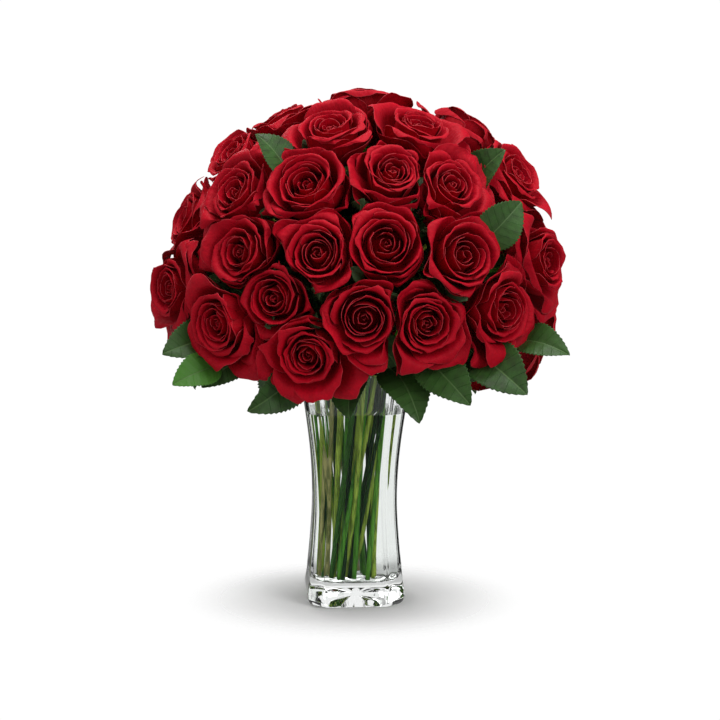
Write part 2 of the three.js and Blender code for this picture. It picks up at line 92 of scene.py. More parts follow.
# The stems
STEM_RADIUS = 2.5
NECK_RADIUS = 2
STOUTNESS = (0.76, 1.12)  # of a stem, by which both radii are multiplied
CALYX_LENGTH = 12
MOUTH_RADIUS = 40  # of the bunch where it leaves the vase
MOUTH_FAN = 0.8
FOOT_SHARE = 0.72  # the bunch's radius at the vase's floor, against that at the mouth
STEM_TWIST = 60
STEM_SPACING = 16
CROSSING_HEIGHT = 118
CROSSING_SPREAD = 4.5
CROSSING_ASIDE = 1.9
BEND_REACH = 0.4
PATH_HEIGHTS = np.linspace(FLOOR_HEIGHT + 1, VASE_HEIGHT, 22)
FOOT_SHIFT = 22  # of a stem's foot from its even place, which FOOT_EASE fades out towards the mouth
FOOT_EASE = 1.5
FOOT_GATHER = (0.82, -3)  # of the feet's places across the vase, and their shift
STEM_ROOM = (33, 45)  # the radius that they keep to at the floor, and from ROOM_RISE above it
ROOM_RISE = 20
SETTLE_ROUNDS = 160
SPREAD_ROUNDS = 300

# Roses that press on each other
PRESS_REACH = 130
NEAR_REACH = 125
PRESS_SOFTNESS = 7
PRESS_ROUNDS = 3
CUP_OVERLAP = 4.5  # by which a round cup may cross into a neighbour's side
PRESS_LEAN = 24  # degrees by which one of two neighbours leans over the other
PRESS_PIVOT = 14  # below their faces
PRESS_WAVE = 3  # of the surface between two neighbours, and its length
PRESS_WAVELENGTH = 42
NEIGHBOUR_GAP = 0.8
# Blooms at the sides whose hearts lean to the front, by so many degrees; their outer petals lean less,
# and those before the heart fall open
FRONT_LEANS = {3: 14, 6: 20, 7: 30, 8: 24, 17: 16, 19: 30}
FRONT_PIVOT = 36
FRONT_SINK = 0.14  # by which a bloom sinks, by degree of lean
GUARD_LEAN = 0.35  # of the outer petals, as a share
CUP_LEAN = 0.8
FALLEN_FRONT = 0.5  # of a petal's rim, by degree of lean
RIM_DEPTH = 12  # of the outer petals' rims below the bloom's face
FREE_REACH = 200  # of petals without a neighbour
LEAST_SLOPE = 0.2  # of a petal's way towards a neighbour, where its reach is measured

# Leaves: [rose whose stem carries it, share of the way from the vase's mouth to that bloom, turn of the
# tip about the vase, the tip's distance from the axis, its height, the blade's length, its roll]
LEAVES = [
    [30, 0.6, -66, 212, 274, 66, -50],
    [20, 0.4, -60, 210, 245, 54, -50],
    [20, 0.45, -60, 178, 240, 70, -50],
    [22, 0.5, -38, 170, 222, 80, -84],
    [23, 0.2, -2, 125, 214, 62, 20],
    [24, 0.3, 26, 150, 211, 80, 15],
    [24, 0.6, 40, 180, 229, 76, 45],
    [18, 0.6, 51, 220, 240, 80, 45],
    [32, 0.6, 66, 238, 274, 66, 45],
    [17, 0.8, 61, 195, 427, 76, 60],
    [6, 0.8, 69, 164, 479, 62, 80],
    [11, 0.8, -55, 112, 494, 64, -85],
    [11, 0.6, 8, 81, 452, 70, 80],
    [15, 0.6, 36, 104, 440, 62, 80],
    [10, 0.6, -43, 117, 405, 66, -80],
    [20, 0.6, -68, 160, 350, 66, -80],
    [16, 0.65, 61, 143, 415, 66, 80],
    [12, 0.55, -12, 97, 362, 60, -80],
    [24, 0.5, 32, 112, 352, 60, 80],
    [18, 0.6, 53, 140, 348, 60, 80],
    [32, 0.35, 92, 170, 225, 76, 10],
    [35, 0.3, 122, 158, 210, 78, -12],
    [34, 0.2, 160, 155, 198, 76, 10],
    [33, 0.25, -140, 155, 198, 78, -10],
    [30, 0.35, -122, 172, 226, 76, 12],
    [19, 0.35, -96, 172, 224, 74, -8],
    [26, 0.65, 175, 88, 428, 62, 80],
    [28, 0.6, 168, 108, 345, 60, 80],
    [29, 0.6, -140, 118, 360, 60, -80],
]
# Leaves that lie on the blooms, by their place in that list: their roots and tips
LYING_LEAVES = {
    9: [(125.0, -106.0, 384.0), (167.0, -98.0, 428.0)],
    11: [(-61.0, -88.0, 446.0), (-98.0, -84.0, 495.0)],
}
LYING_ROLL = 8
FRESH_LEAVES = {1: 2}  # the same for leaves of a lighter green, and what their tone gains
# Leaves across the gaps that would show the room behind: the rose whose stem carries them, their
# roots' share of the way to its bloom, and their middles
GAP_LEAVES = [
    (21, 0.75, (-96.0, -40.0, 356.0)),
    (10, 0.7, (-152.0, 10.0, 349.0)),
    (18, 0.7, (142.0, -20.0, 350.0)),
    (24, 0.35, (40.0, -48.0, 264.0)),
]
GAP_LEAF = 66
# Leaves that hang into the vase: the rose whose stem carries them, their roots and tips
SUNK_LEAVES = [
    (18, (10.0, 10.0, 246.0), (17.0, 12.0, 176.0)),
    (20, (-20.0, 12.0, 246.0), (-26.0, 14.0, 200.0)),
]
PALE_SUNK = 0.8
LEAF_ARCH = 0.09
LEAF_FOLD = 0.25

# The camera, at the photograph's place
CAMERA_TARGET = (6.4, 0, 257)
CAMERA_DISTANCE = 2000
CAMERA_PITCH = 7
CAMERA_LENS = 94.34
CAMERA_SENSOR = 36

# The stage, in metres
FLOOR_FADE = (0.04, 0.2)
FLOOR_SIDES = 64
CARD_PLACES = [(side, front) for side in (-0.34, 0.34) for front in (-0.8, 0.12)]
CARD_SIZE = (0.68, 0.6)
CARD_FOOT = 0.03
LIGHT_AIM = (0, 0, 0.3)
# Name, place, size and power in watts
LIGHTS = [
    ("key", (1.7, -1.9, 1.5), 1.6, 29),
    ("fill", (-1.9, -1.5, 0.9), 1.4, 5),
    ("top", (0.1, -0.1, 2.4), 1.3, 38),
    ("back", (-0.9, 2.1, 1.9), 1.6, 16),
]
# The world's strength, as the camera sees it, as a light, in a mirror, and through the glass
SEEN = 1.02
AMBIENT = 0.48
MIRRORED = 0.12
THROUGH_GLASS = 0.92
BEFORE_GLASS = 0.75

UP = np.array([0.0, 0.0, 1.0])
FRONT = np.array([0.0, -1.0, 0.0])


def seeded(number):
    return np.random.default_rng(SEED + number)


def mix(a, b, share):
    return a + (b - a) * share


def smooth(low, high, value):
    share = np.clip((value - low) / (high - low), 0, 1)
    return share * share * (3 - 2 * share)


def unit(vectors):
    return vectors / np.maximum(np.linalg.norm(vectors, axis=-1, keepdims=True), 1e-9)


def turned(vector, axis, angle):
    """A vector turned about an axis by an angle in degrees."""
    return np.array(Quaternion(Vector(axis), math.radians(angle)) @ Vector(vector))


def joined(*parts):
    """Arrays or single values as the parts of vectors."""
    return np.stack(np.broadcast_arrays(*parts), -1)


def bezier(ends, shares):
    """Points of a cubic Bezier curve."""
    t = np.asarray(shares, dtype=float)[..., None]
    a, b, c, d = [np.asarray(end, dtype=float) for end in ends]
    return (1 - t) ** 3 * a + 3 * t * (1 - t) ** 2 * b + 3 * t * t * (1 - t) * c + t ** 3 * d


# Meshes

def new_object(name, data):
    piece = bpy.data.objects.new(name, data)
    bpy.context.collection.objects.link(piece)
    return piece


class Shape:
    """Points, faces and values at points, gathered into one mesh."""

    def __init__(self):
        self.points = []
        self.faces = []
        self.values = {}
        self.count = 0

    def add(self, points, faces, **values):
        """Adds points of shape (n, 3), and lists of faces of one size each, numbered from 0."""
        self.points.append(points)
        self.faces += [np.asarray(each, dtype=np.int64) + self.count for each in faces if len(each)]
        for name, value in values.items():
            self.values.setdefault(name, []).append(np.broadcast_to(value, (len(points), 3)))
        self.count += len(points)

    def build(self, name, material):
        points = np.concatenate(self.points) * MM
        mesh = bpy.data.meshes.new(name)
        mesh.vertices.add(len(points))
        mesh.vertices.foreach_set("co", points.ravel())
        sizes = np.concatenate([np.full(len(each), each.shape[1]) for each in self.faces])
        corners = np.concatenate([each.ravel() for each in self.faces])
        mesh.loops.add(len(corners))
        mesh.loops.foreach_set("vertex_index", corners)
        mesh.polygons.add(len(sizes))
        mesh.polygons.foreach_set("loop_start", np.concatenate([[0], np.cumsum(sizes)[:-1]]))
        mesh.polygons.foreach_set("use_smooth", np.ones(len(sizes), dtype=bool))
        mesh.update(calc_edges=True)
        for key, parts in self.values.items():
            attribute = mesh.attributes.new(key, "FLOAT_VECTOR", "POINT")
            attribute.data.foreach_set("vector", np.concatenate(parts).ravel())
        mesh.materials.append(material)
        return new_object(name, mesh)


def grid_faces(rows, columns, start=0, flip=False, around=False):
    """The faces of a grid of points, numbered row by row."""
    steps = np.arange(columns if around else columns - 1)
    r, c = np.meshgrid(np.arange(rows - 1), steps, indexing="ij")
    here, right = r * columns + c, r * columns + (c + 1) % columns
    faces = joined(here, right, right + columns, here + columns).reshape(-1, 4) + start
    return faces[:, ::-1] if flip else faces


def add_sheet(shape, grid, thickness, **values):
    """Adds a grid of points as a closed sheet. The second part of its value "skin" is at least 1 on
    the sheet's inner face."""
    rows, columns, _ = grid.shape
    along = np.gradient(grid, axis=0)
    across = np.gradient(grid, axis=1)
    normal = unit(np.cross(across, along)) * (thickness / 2)
    points = np.concatenate([(grid + normal).reshape(-1, 3), (grid - normal).reshape(-1, 3)])
    n = rows * columns
    edge = np.concatenate([
        np.arange(columns - 1),
        np.arange(rows - 1) * columns + columns - 1,
        (rows - 1) * columns + np.arange(columns - 1, 0, -1),
        np.arange(rows - 1, 0, -1) * columns,
    ])
    following = np.roll(edge, -1)
    rim = joined(edge, edge + n, following + n, following)
    faces = [grid_faces(rows, columns), grid_faces(rows, columns, n, flip=True), rim]
    doubled = {}
    for name, value in values.items():
        front = np.array(np.broadcast_to(value, grid.shape), dtype=float).reshape(-1, 3)
        back = front.copy()
        if name == "skin":
            back[:, 1] = np.maximum(back[:, 1], 1)
        doubled[name] = np.concatenate([front, back])
    shape.add(points, faces, **doubled)


def add_loft(shape, rings, **values):
    """Adds a solid through rings of points, closed at both ends, with values for all or each."""
    count = len(rings[0])
    ends = np.stack([np.arange(count)[::-1], np.arange(count) + (len(rings) - 1) * count])
    shaped = {
        name: np.repeat(np.broadcast_to(value, (len(rings), 3)), count, axis=0)
        for name, value in values.items()
    }
    faces = [grid_faces(len(rings), count, around=True), ends]
    shape.add(np.concatenate(rings), faces, **shaped)


def add_tube(shape, line, radii, sides, **values):
    """Adds a closed round tube along a line of points."""
    line = np.asarray(line, dtype=float)
    tangents = unit(np.gradient(line, axis=0))
    side = np.array([1.0, 0.0, 0.0])
    rings = []
    angles = 2 * math.pi * np.arange(sides) / sides
    for point, tangent, radius in zip(line, tangents, radii):
        side = unit(side - tangent * side.dot(tangent))
        other = np.cross(tangent, side)
        ring = np.cos(angles)[:, None] * side + np.sin(angles)[:, None] * other
        rings.append(point + radius * ring)
    add_loft(shape, rings, **values)


# Where the roses and stems stand

class Rose:
    """Where a bloom stands, which way it faces, and what sets it apart from the others."""

    def __init__(self, number, turn, rise, reach, width, openness, spin):
        around, up = math.radians(turn), math.radians(rise)
        deep = DOME["front"] if math.cos(around) > 0 else DOME["back"]
        slope = np.array([DOME["across"], deep, DOME["up"]])
        out = slope * [math.cos(up) * math.sin(around), -math.cos(up) * math.cos(around), math.sin(up)]
        self.number = number
        self.openness = openness
        self.facing = unit(out / slope ** 2)
        self.face = out + DOME_CENTRE + self.facing * reach
        self.scale = width / BLOOM_WIDTH
        self.base = self.face - self.facing * BLOOM_DEPTH * self.scale
        upright = Vector(UP).rotation_difference(Vector(self.facing))
        pose = upright @ Quaternion(Vector(UP), math.radians(spin))
        self.turn = np.array(pose.to_matrix())
        self.rng = seeded(number)
        self.hand = 1 if self.rng.random() < RIGHT_HANDED else -1
        self.tone = self.rng.uniform(0, 1)
        self.cup = self.rng.uniform(*CUP_WIDTHS)
        self.deep = self.rng.uniform(0, 1)
        self.stoutness = self.rng.uniform(*STOUTNESS)

    def place(self, points):
        """Points from the bloom's own frame, with its base at 0 and its axis along Z."""
        return self.base + (points * self.scale) @ self.turn.T

    def lean(self, points, share):
        """Points of the bloom, leant to the front by a share of its lean."""
        degrees = FRONT_LEANS.get(self.number, 0) * share
        pivot = self.base + self.facing * FRONT_PIVOT * self.scale
        pose = Quaternion(Vector(unit(np.cross(self.facing, FRONT))), math.radians(degrees))
        sunk = pivot - self.facing * FRONT_SINK * degrees
        return sunk + (points - pivot) @ np.array(pose.to_matrix()).T

    def way(self, turn):
        """The direction of a petal at a turn about the axis."""
        return self.turn @ np.array([math.cos(math.radians(turn)), math.sin(math.radians(turn)), 0])

    def before(self, turn):
        """How much a petal at such a turn stands before the heart of a bloom that leans."""
        return max(0, self.way(turn).dot(FRONT)) * FRONT_LEANS.get(self.number, 0)

    def reach(self, turn):
        """How far a petal at such a turn may stretch before it meets a neighbour."""
        out = self.way(turn)
        rim = self.face - self.facing * RIM_DEPTH * self.scale
        rooms = [
            (offset - rim.dot(normal)) / max(out.dot(normal), LEAST_SLOPE)
            for normal, offset, *_ in self.planes
        ]
        return (min(rooms + [FREE_REACH]) - NEIGHBOUR_GAP / 2) / self.scale

    def press(self, points, overlap=0):
        """Points moved back softly where they would enter a neighbour."""
        turns = 2 * math.pi / PRESS_WAVELENGTH
        for _ in range(PRESS_ROUNDS):
            for normal, offset, side, level, phase in self.planes:
                wave = side * PRESS_WAVE * np.sin(points @ level * turns + phase)
                past = points @ normal - offset - wave - overlap + NEIGHBOUR_GAP / 2 + PRESS_SOFTNESS
                eased = PRESS_SOFTNESS * (1 - np.exp(-np.maximum(past, 0) / PRESS_SOFTNESS))
                points = points + np.where(past > 0, eased - past, 0)[..., None] * normal
        return points


ROWS = []
for row in ROSE_ROWS:
    first = 1 + sum(len(each) for each in ROWS)
    ROWS.append([Rose(first + k, *numbers) for k, numbers in enumerate(row)])
ROSES = [rose for row in ROWS for rose in row]


def press_plane(rose, other):
    """The plane halfway between two roses: its normal and offset, and the side, way and start of the
    waves on it."""
    middle = (rose.face + other.face) / 2
    inward = unit((rose.base + other.base) / 2 - middle)
    towards = other.face - rose.face
    towards = unit(towards - inward * towards.dot(inward))
    first, last = sorted([rose.number, other.number])
    over = 1 if (first + last * 3) % 4 < 2 else -1
    lean = math.radians(PRESS_LEAN) * (over if rose.number == first else -over)
    normal = towards * math.cos(lean) + inward * math.sin(lean)
    side = 1 if rose.number == first else -1
    offset = normal.dot(middle + inward * PRESS_PIVOT)
    return normal, offset, side, side * np.cross(normal, inward), first * 1.7 + last * 2.9


def others_near(rose, reach):
    return [each for each in ROSES if 0 < np.linalg.norm(each.face - rose.face) < reach]


for rose in ROSES:
    rose.planes = [press_plane(rose, other) for other in others_near(rose, PRESS_REACH)]
    rose.near = others_near(rose, NEAR_REACH)


def mouth_point(rose):
    """Where a rose's stem aims to leave the vase, as a level place."""
    out = unit(rose.face - DOME_CENTRE)
    share = math.sqrt((1 - out[2]) / (out[0] ** 2 + out[1] ** 2))
    return out * [1, 1, 0] * share * MOUTH_RADIUS * MOUTH_FAN


def spread(points, spacing, radius):
    """Points in a level circle, moved apart until each keeps its distance from the rest."""
    for _ in range(SPREAD_ROUNDS):
        for i, a in enumerate(points):
            for b in points[i + 1:]:
                push = b - a
                lack = spacing - np.linalg.norm(push)
                if lack > 0:
                    push *= lack / 2 / np.linalg.norm(push)
                    a -= push
                    b += push
            a *= min(1, radius / max(np.linalg.norm(a), 1e-9))
    return points


def curve_through(profile, heights):
    """Half widths at heights, on a smooth curve through a profile."""
    z, w = [np.array(each, dtype=float) for each in zip(*profile)]
    slope = np.gradient(w, z)
    place = np.clip(np.searchsorted(z, heights) - 1, 0, len(z) - 2)
    gap = z[place + 1] - z[place]
    s = (heights - z[place]) / gap
    return (
        (2 * s ** 3 - 3 * s ** 2 + 1) * w[place]
        + (s ** 3 - 2 * s ** 2 + s) * gap * slope[place]
        + (3 * s ** 2 - 2 * s ** 3) * w[place + 1]
        + (s ** 3 - s ** 2) * gap * slope[place + 1]
    )


MOUTHS = [sum(mouth_point(rose) for rose in row) / len(row) for row in ROWS]
MOUTH_CENTRES = spread(MOUTHS, STEM_SPACING, MOUTH_RADIUS)


def stem_in_vase(rose, row, mouth, side, z):
    """The middle of a stem at a height inside the vase."""
    apart = unit(mouth_point(row[0]) - mouth_point(row[-1])) if len(row) > 1 else np.zeros(3)
    share = (z - FLOOR_HEIGHT) / (VASE_HEIGHT - FLOOR_HEIGHT)
    foot = turned(mouth * FOOT_SHARE, UP, -STEM_TWIST)
    centre = mix(foot, mouth, share) * [1, 1, 0] + UP * z
    centre = centre + turned(apart, UP, 90) * side * CROSSING_ASIDE
    aside = apart * side * CROSSING_SPREAD * (z - CROSSING_HEIGHT)
    return centre + aside / (VASE_HEIGHT - CROSSING_HEIGHT)


for row, mouth in zip(ROWS, MOUTH_CENTRES):
    for k, rose in enumerate(row):
        side = 0 if len(row) == 1 else 1 - 2 * k
        rose.path = np.array([stem_in_vase(rose, row, mouth, side, z) for z in PATH_HEIGHTS])
        top = rose.path[-1]
        slant = unit(top - rose.path[0])
        neck = rose.base - rose.facing * CALYX_LENGTH
        bend = BEND_REACH * np.linalg.norm(neck - top)
        rose.bend = [top, top + slant * bend, neck - rose.facing * bend, neck]


def settle_stems():
    """Moves the feet of the stems a little, and eases the stems apart until none enters another."""
    rng = seeded(703)
    radii = np.array([STEM_RADIUS * rose.stoutness for rose in ROSES])
    paths = np.stack([rose.path[:, :2] for rose in ROSES])
    heights = PATH_HEIGHTS
    turns = rng.uniform(0, 2 * math.pi, len(ROSES))
    shift = FOOT_SHIFT * np.sqrt(rng.uniform(0.2, 1, len(ROSES)))
    share = ((VASE_HEIGHT - heights) / (VASE_HEIGHT - heights[0])) ** FOOT_EASE
    paths = paths + (shift * [np.cos(turns), np.sin(turns)]).T[:, None] * share[:, None]
    gather, aside = FOOT_GATHER
    paths[..., 0] += ((gather - 1) * paths[..., 0] + aside) * share
    walls = curve_through(VASE_PROFILE, heights) - WALL
    rise = np.clip((heights - FLOOR_HEIGHT) / ROOM_RISE, 0, 1)
    room = np.minimum(walls, mix(*STEM_ROOM, rise)) - 1
    between = radii[:, None] + radii[None, :]
    np.fill_diagonal(between, 0)
    for _ in range(SETTLE_ROUNDS):
        apart = paths[:, None] - paths[None]
        distance = np.maximum(np.linalg.norm(apart, axis=-1), 1e-6)
        lack = np.maximum(between[..., None] - distance, 0)
        moved = paths + 0.5 * (apart / distance[..., None] * lack[..., None]).sum(1)
        moved[:, 1:-1] += 0.2 * (moved[:, :-2] + moved[:, 2:] - 2 * moved[:, 1:-1])
        out = np.linalg.norm(moved, axis=-1)
        moved *= np.minimum(1, (room - radii[:, None]) / np.maximum(out, 1e-6))[..., None]
        paths[:, :-2] = moved[:, :-2]
    for rose, path in zip(ROSES, paths):
        rose.path[:, :2] = path


settle_stems()


# Blooms

# The red core under a bloom's heart, which its petals spring from: its heights and radii
CORE_HEIGHTS = np.array([2, 7, 10.5, 13, 17, 24, 30, 35])
CORE_RADII = np.array([6, 18, 24, 24.5, 21, 16, 9, 1])
CORE_SIDES = 14
CORE_SHADE_HEIGHT = 26  # the painted shade of its colour, as that of a petal at this height
# A petal's middle line, from its foot: the radii and heights of the curve's other ends
PETAL_FOOT = 6
FOOT_HEIGHTS = (14, 1.5)  # of the innermost petals and the outermost
INNER_PETAL = np.array([(17, 14), (13, 45), (7, 51)])
OUTER_PETAL = np.array([(44, 6), (42, 60), (50, 51)])
PETAL_POWERS = np.array([1, 1.2, 1.3])
OPENING = np.array([8, -16])  # of the tip of an open bloom's outermost petal
MIDDLE_RISE = 8
DEEP_HEART = 7
GUARD_PLACES = [1, 0.94, 0.88, 0.82, 0.76]  # of the outer petals, which spread behind the round cup
CORNERS = 5  # long petals at most, which fill the corners between a bloom's neighbours
CORNER_REACH = 37
CORNER_SPACING = 44
CORNER_LENGTH = 57
CORNER_HEIGHTS = (24, 34)  # of their tips
CORNER_RISES = (10, 18)  # of their curve above the tip
OPEN_REACH = 43  # of petals with no neighbour before them
OPEN_FLARE = (7, 6)  # by which such a petal may reach out and up
WIDE_FLARE = (18, 2)  # the same on the blooms that stand out at the sides
WIDE_ROSES = (6, 7, 8, 17)
GUARD_SPARE = (-5, 3)  # of the outer petals' rims past their neighbours
GUARD_FIT = 0.62  # by which they shorten at most
GUARD_DROPS = (-2, 8)  # of their rims
CUP_PLACE = 0.6  # of the cup's outermost petal
HEART_PLACE = 0.3  # up to which petals are meshed more coarsely
HEART_SHARE = 0.34  # of the cup's petals, which roll up tightly in its middle
PETAL_SPREAD = {"heart": 118, "inner": 92, "cup": 68, "outer": 52, "tip": 0.84}
FIRST_TURN = 29.5  # degrees, of the outermost petal
GOLDEN_ANGLE = 137.5
TURN_SPREAD = 10
PETAL_NUMBERS = 40  # kept for each bloom; a petal's number tells its noise from the others'
PETAL_THICKNESS = 0.45
# How far a rim drops at the petal's sides, and the power of its curve
ROUND_RIM = np.array([0.17, 3.0])
POINTED_RIM = np.array([0.33, 1.5])
# From the innermost petals to the outermost: how far a rim rolls out, and how far the waves and the
# crinkles of a rim move it out and up
LIP = (1.2, 8)
LIP_SHARES = (0.55, 1.25)
RUFFLE = [(0.3, 1.9), (0.4, 1.6)]
CRINKLE = [(0.15, 0.75), (0.1, 0.6)]
# The places of a petal's points up and to each side, closer at its rim
UP_GRIDS = {
    "guard": [0, 0.15, 0.3, 0.45, 0.58, 0.69, 0.78, 0.86, 0.92, 0.96, 0.988, 1],
    "cup": [0.15, 0.35, 0.52, 0.66, 0.77, 0.86, 0.92, 0.96, 0.988, 1],
    "heart": [0.45, 0.62, 0.76, 0.87, 0.95, 0.985, 1],
}
SIDE_GRIDS = {
    "guard": [0, 0.1, 0.21, 0.32, 0.44, 0.56, 0.68, 0.8, 0.9, 0.98, 1],
    "cup": [0, 0.14, 0.3, 0.46, 0.6, 0.74, 0.86, 0.95, 0.985, 1],
    "heart": [0, 0.2, 0.42, 0.62, 0.8, 0.93, 0.98, 1],
}


def petal_place(order, count):
    """The place of a petal, from 1 for the outermost to 0, and how much it belongs to the heart."""
    if order < len(GUARD_PLACES):
        return GUARD_PLACES[order], 0
    share = 1 - (order - len(GUARD_PLACES)) / (count - len(GUARD_PLACES) - 1)
    return CUP_PLACE * share ** 1.2, 1 - min(1, share / HEART_SHARE)


def corner_turns(rose):
    """The turns about a bloom's axis where it has the most room."""
    turns = np.arange(0, 360, 6)
    ways = np.array([rose.reach(turn) for turn in turns])
    chosen = []
    for i in np.argsort(-ways, kind="stable"):
        apart = [abs((turns[i] - each + 180) % 360 - 180) for each in chosen]
        between = CORNER_REACH < ways[i] < CORNER_LENGTH * 1.5
        if between and min(apart + [360]) > CORNER_SPACING and len(chosen) < CORNERS:
            chosen.append(turns[i])
    return chosen


def petal_ends(rose, place, turn, corner):
    """The ends of a petal's middle line past its foot, fitted between the bloom's neighbours."""
    rng = rose.rng
    ends = INNER_PETAL + (OUTER_PETAL - INNER_PETAL) * (place ** PETAL_POWERS)[:, None]
    ends[2] += OPENING * rose.openness * place ** 3
    ends[2, 1] += MIDDLE_RISE * place * (1 - place)
    ends[2, 1] -= DEEP_HEART * rose.deep * (1 - place) ** 3
    if corner:
        ends[2] = min(rose.reach(turn) + 1, CORNER_LENGTH), rng.uniform(*CORNER_HEIGHTS)
        ends[1] = 0.86 * ends[2, 0], ends[2, 1] + rng.uniform(*CORNER_RISES)
    elif place > CUP_PLACE:
        room = rose.reach(turn)
        length = min(room, OPEN_REACH) + rng.uniform(*GUARD_SPARE)
        fitted = np.clip(length / ends[2, 0], GUARD_FIT, 1)
        ends[1:, 0] *= fitted
        ends[2, 1] += 9 * (1 - fitted) - rng.uniform(*GUARD_DROPS)
        if room > OPEN_REACH + 8:
            flare = WIDE_FLARE if rose.number in WIDE_ROSES else OPEN_FLARE
            ends[2] += flare * rng.uniform(0, 1, 2)
        fallen = FALLEN_FRONT * rose.before(turn)
        ends[1:, 1] -= fallen * np.array([0.6, 1])
        ends[1, 0] += 0.3 * fallen
    else:
        ends[:, 0] *= rose.cup
    return ends


def petal_grid(rose, place, heart, turn, corner):
    """The middle surface of a petal in the bloom's own frame, with its places across and up."""
    rng = rose.rng
    guard = place > CUP_PLACE
    kind = "heart" if place < HEART_PLACE else "guard" if guard and rose.number <= FRONT_ROSES else "cup"
    half = np.array(SIDE_GRIDS[kind])
    across = np.concatenate([-half[:0:-1], half])[None, :]
    up = np.array(UP_GRIDS[kind])[:, None]
    ends = petal_ends(rose, place, turn, corner)
    foot = [PETAL_FOOT, mix(*FOOT_HEIGHTS, place)]
    size = 1 + 0.03 * rng.standard_normal()
    lean = mix(0.05, 0.12, heart) * rng.standard_normal()
    tilt = rng.uniform(-1, 1)
    phases = rng.uniform(0, 2 * math.pi, 5)
    pointed = max(smooth(0.3, 0.95, place) * rng.uniform(0.5, 1.3), heart * rng.uniform(0, 0.9))

    # the outline: round inside, drawn to a point outside
    fall, power = mix(ROUND_RIM, POINTED_RIM, pointed)
    drop = fall * np.abs(across) ** power
    nick = 0.022 * np.sin(8 * across + phases[0]) + 0.012 * np.sin(15 * across + phases[1])
    t = up * (1 - drop + nick * up ** 3 + 0.05 * tilt * across * up)
    profile = bezier([foot, *ends], t)
    radius = profile[..., 0] * mix(1, 0.15, heart) * (1 + lean * t ** 2)
    height = profile[..., 1] * size - (7 - 5 * rose.deep) * heart * t

    # the rim rolls outwards, and the sides of the outer petals fall back
    lip = mix(*LIP, math.sqrt(place)) * (1 - 0.85 * heart) * rng.uniform(*LIP_SHARES)
    rolled = np.clip((t - 0.66) / 0.34, 0, 1)
    side_roll = 1 + 0.7 * rng.uniform(-1, 1) * across
    radius += lip * side_roll * rolled ** 1.6
    height -= 0.55 * lip * side_roll * rolled ** 2.4
    fallen = np.clip((np.abs(across) - 0.3) / 0.7, 0, 1) ** 2 * t ** 2 * place ** 1.3
    radius += 4 * fallen
    height -= (12 if guard else 8) * fallen
    crest = np.exp(-(across / 0.16) ** 2) * np.clip((t - 0.75) / 0.25, 0, 1) ** 2 * pointed
    radius += 4 * crest
    height -= 2 * crest
    ruffle = np.sin(4.2 * across + phases[2]) + 0.5 * np.sin(9 * across + phases[3])
    radius += mix(*RUFFLE[0], place) * (1 - heart) * ruffle * t ** 3
    height += mix(*RUFFLE[1], place) * np.cos(5 * across + phases[4]) * t ** 4
    crinkle = np.sin(12 * across + phases[1]) + 0.7 * np.sin(17 * across + phases[3])
    radius += mix(*CRINKLE[0], place) * crinkle * t ** 8
    height += mix(*CRINKLE[1], place) * np.cos(14 * across + phases[2]) * t ** 8

    kept = mix(1, PETAL_SPREAD["tip"], np.clip(2 * up - 1, 0, 1)) * mix(0.8, 1, np.clip(up * 2.5, 0, 1))
    spreads = [PETAL_SPREAD[key] for key in ("inner", "inner", "cup", "outer")]
    wide = np.interp(place, [0, HEART_PLACE, CUP_PLACE, 1], spreads) * rng.uniform(0.9, 1.1)
    angle = np.radians(turn + across * kept * mix(wide, PETAL_SPREAD["heart"], heart))
    radius *= 1 + rose.hand * mix(0.07, 0.2, heart) * across
    grid = joined(radius * np.cos(angle), radius * np.sin(angle), height)
    return grid, *np.broadcast_arrays(across, up)


def bloom(rose):
    """A bloom's petals, from the outermost in, and the core that they stand on."""
    shape = Shape()
    count = FRONT_PETALS if rose.number <= FRONT_ROSES else BACK_PETALS
    count += int(rose.rng.integers(-2, 3))
    petals = [(1, 0, turn, True) for turn in corner_turns(rose)]
    for order in range(count):
        place, heart = petal_place(order, count)
        hand = 1 if place > CUP_PLACE else rose.hand
        petals.append((place, heart, FIRST_TURN + GOLDEN_ANGLE * hand * order, False))
    first = PETAL_NUMBERS * rose.number
    for k, (place, heart, turn, corner) in enumerate(petals):
        turn = turn + TURN_SPREAD * rose.rng.standard_normal()
        grid, across, up = petal_grid(rose, place, heart, turn, corner)
        share, overlap = (GUARD_LEAN, 0) if place > CUP_PLACE else (CUP_LEAN, CUP_OVERLAP)
        world = rose.press(rose.lean(rose.place(grid), mix(share, 1, heart)), overlap)
        # The rim marks each petal's edge, which the material paints pale pink: a painted highlight where
        # the rims catch the light.
        rim = ((np.abs(across) == 1) | (up == 1)) * (up > 0.3)
        tone = 0.55 * rose.tone + 0.45 * rose.rng.uniform(0, 1)
        petal = joined(across * mix(8, 38, place), up * 60, k + first)
        add_sheet(shape, world, PETAL_THICKNESS, skin=joined(rim, 0, tone), petal=petal)
    core = rose.base + rose.facing * rose.scale * CORE_HEIGHTS[:, None]
    # the core takes the painted shade of a petal's foot, deep in the bloom
    values = {"skin": [0, 0, rose.tone], "petal": [0, CORE_SHADE_HEIGHT, first]}
    add_tube(shape, core, CORE_RADII * rose.scale, CORE_SIDES, **values)
    return shape


# Stems, calyces and sepals

GOLDEN_SHARE = 0.618
STEM_SIDES = 10
# The hip under a bloom: how far its rings lie below the bloom's base, and their radii
HIP_DROPS = np.array([13, 11, 9, 7, 5, 3, 1, -1.5, -3.5])
HIP_RADII = np.array([2, 2.3, 3.6, 4.9, 5.5, 5.6, 5.5, 6.2, 4.5])
HIP_SIDES = 14
SEPALS = 5
SEPAL_LENGTH = 20
SEPAL_DROOP = 3
SEPAL_ROOT = 4.6
SEPAL_HALF = 2.9  # of its width
SEPAL_THICKNESS = 0.5
THORN_SPACING = 26
THORN_SHARES = (0.12, 0.9)  # of the stem above the vase, between which they stand
THORN_HOOK = 1.6
THORN_SIZE = (2.6, 4.2)
THORN_RADII = [1.5, 0.85, 0.4, 0.08]


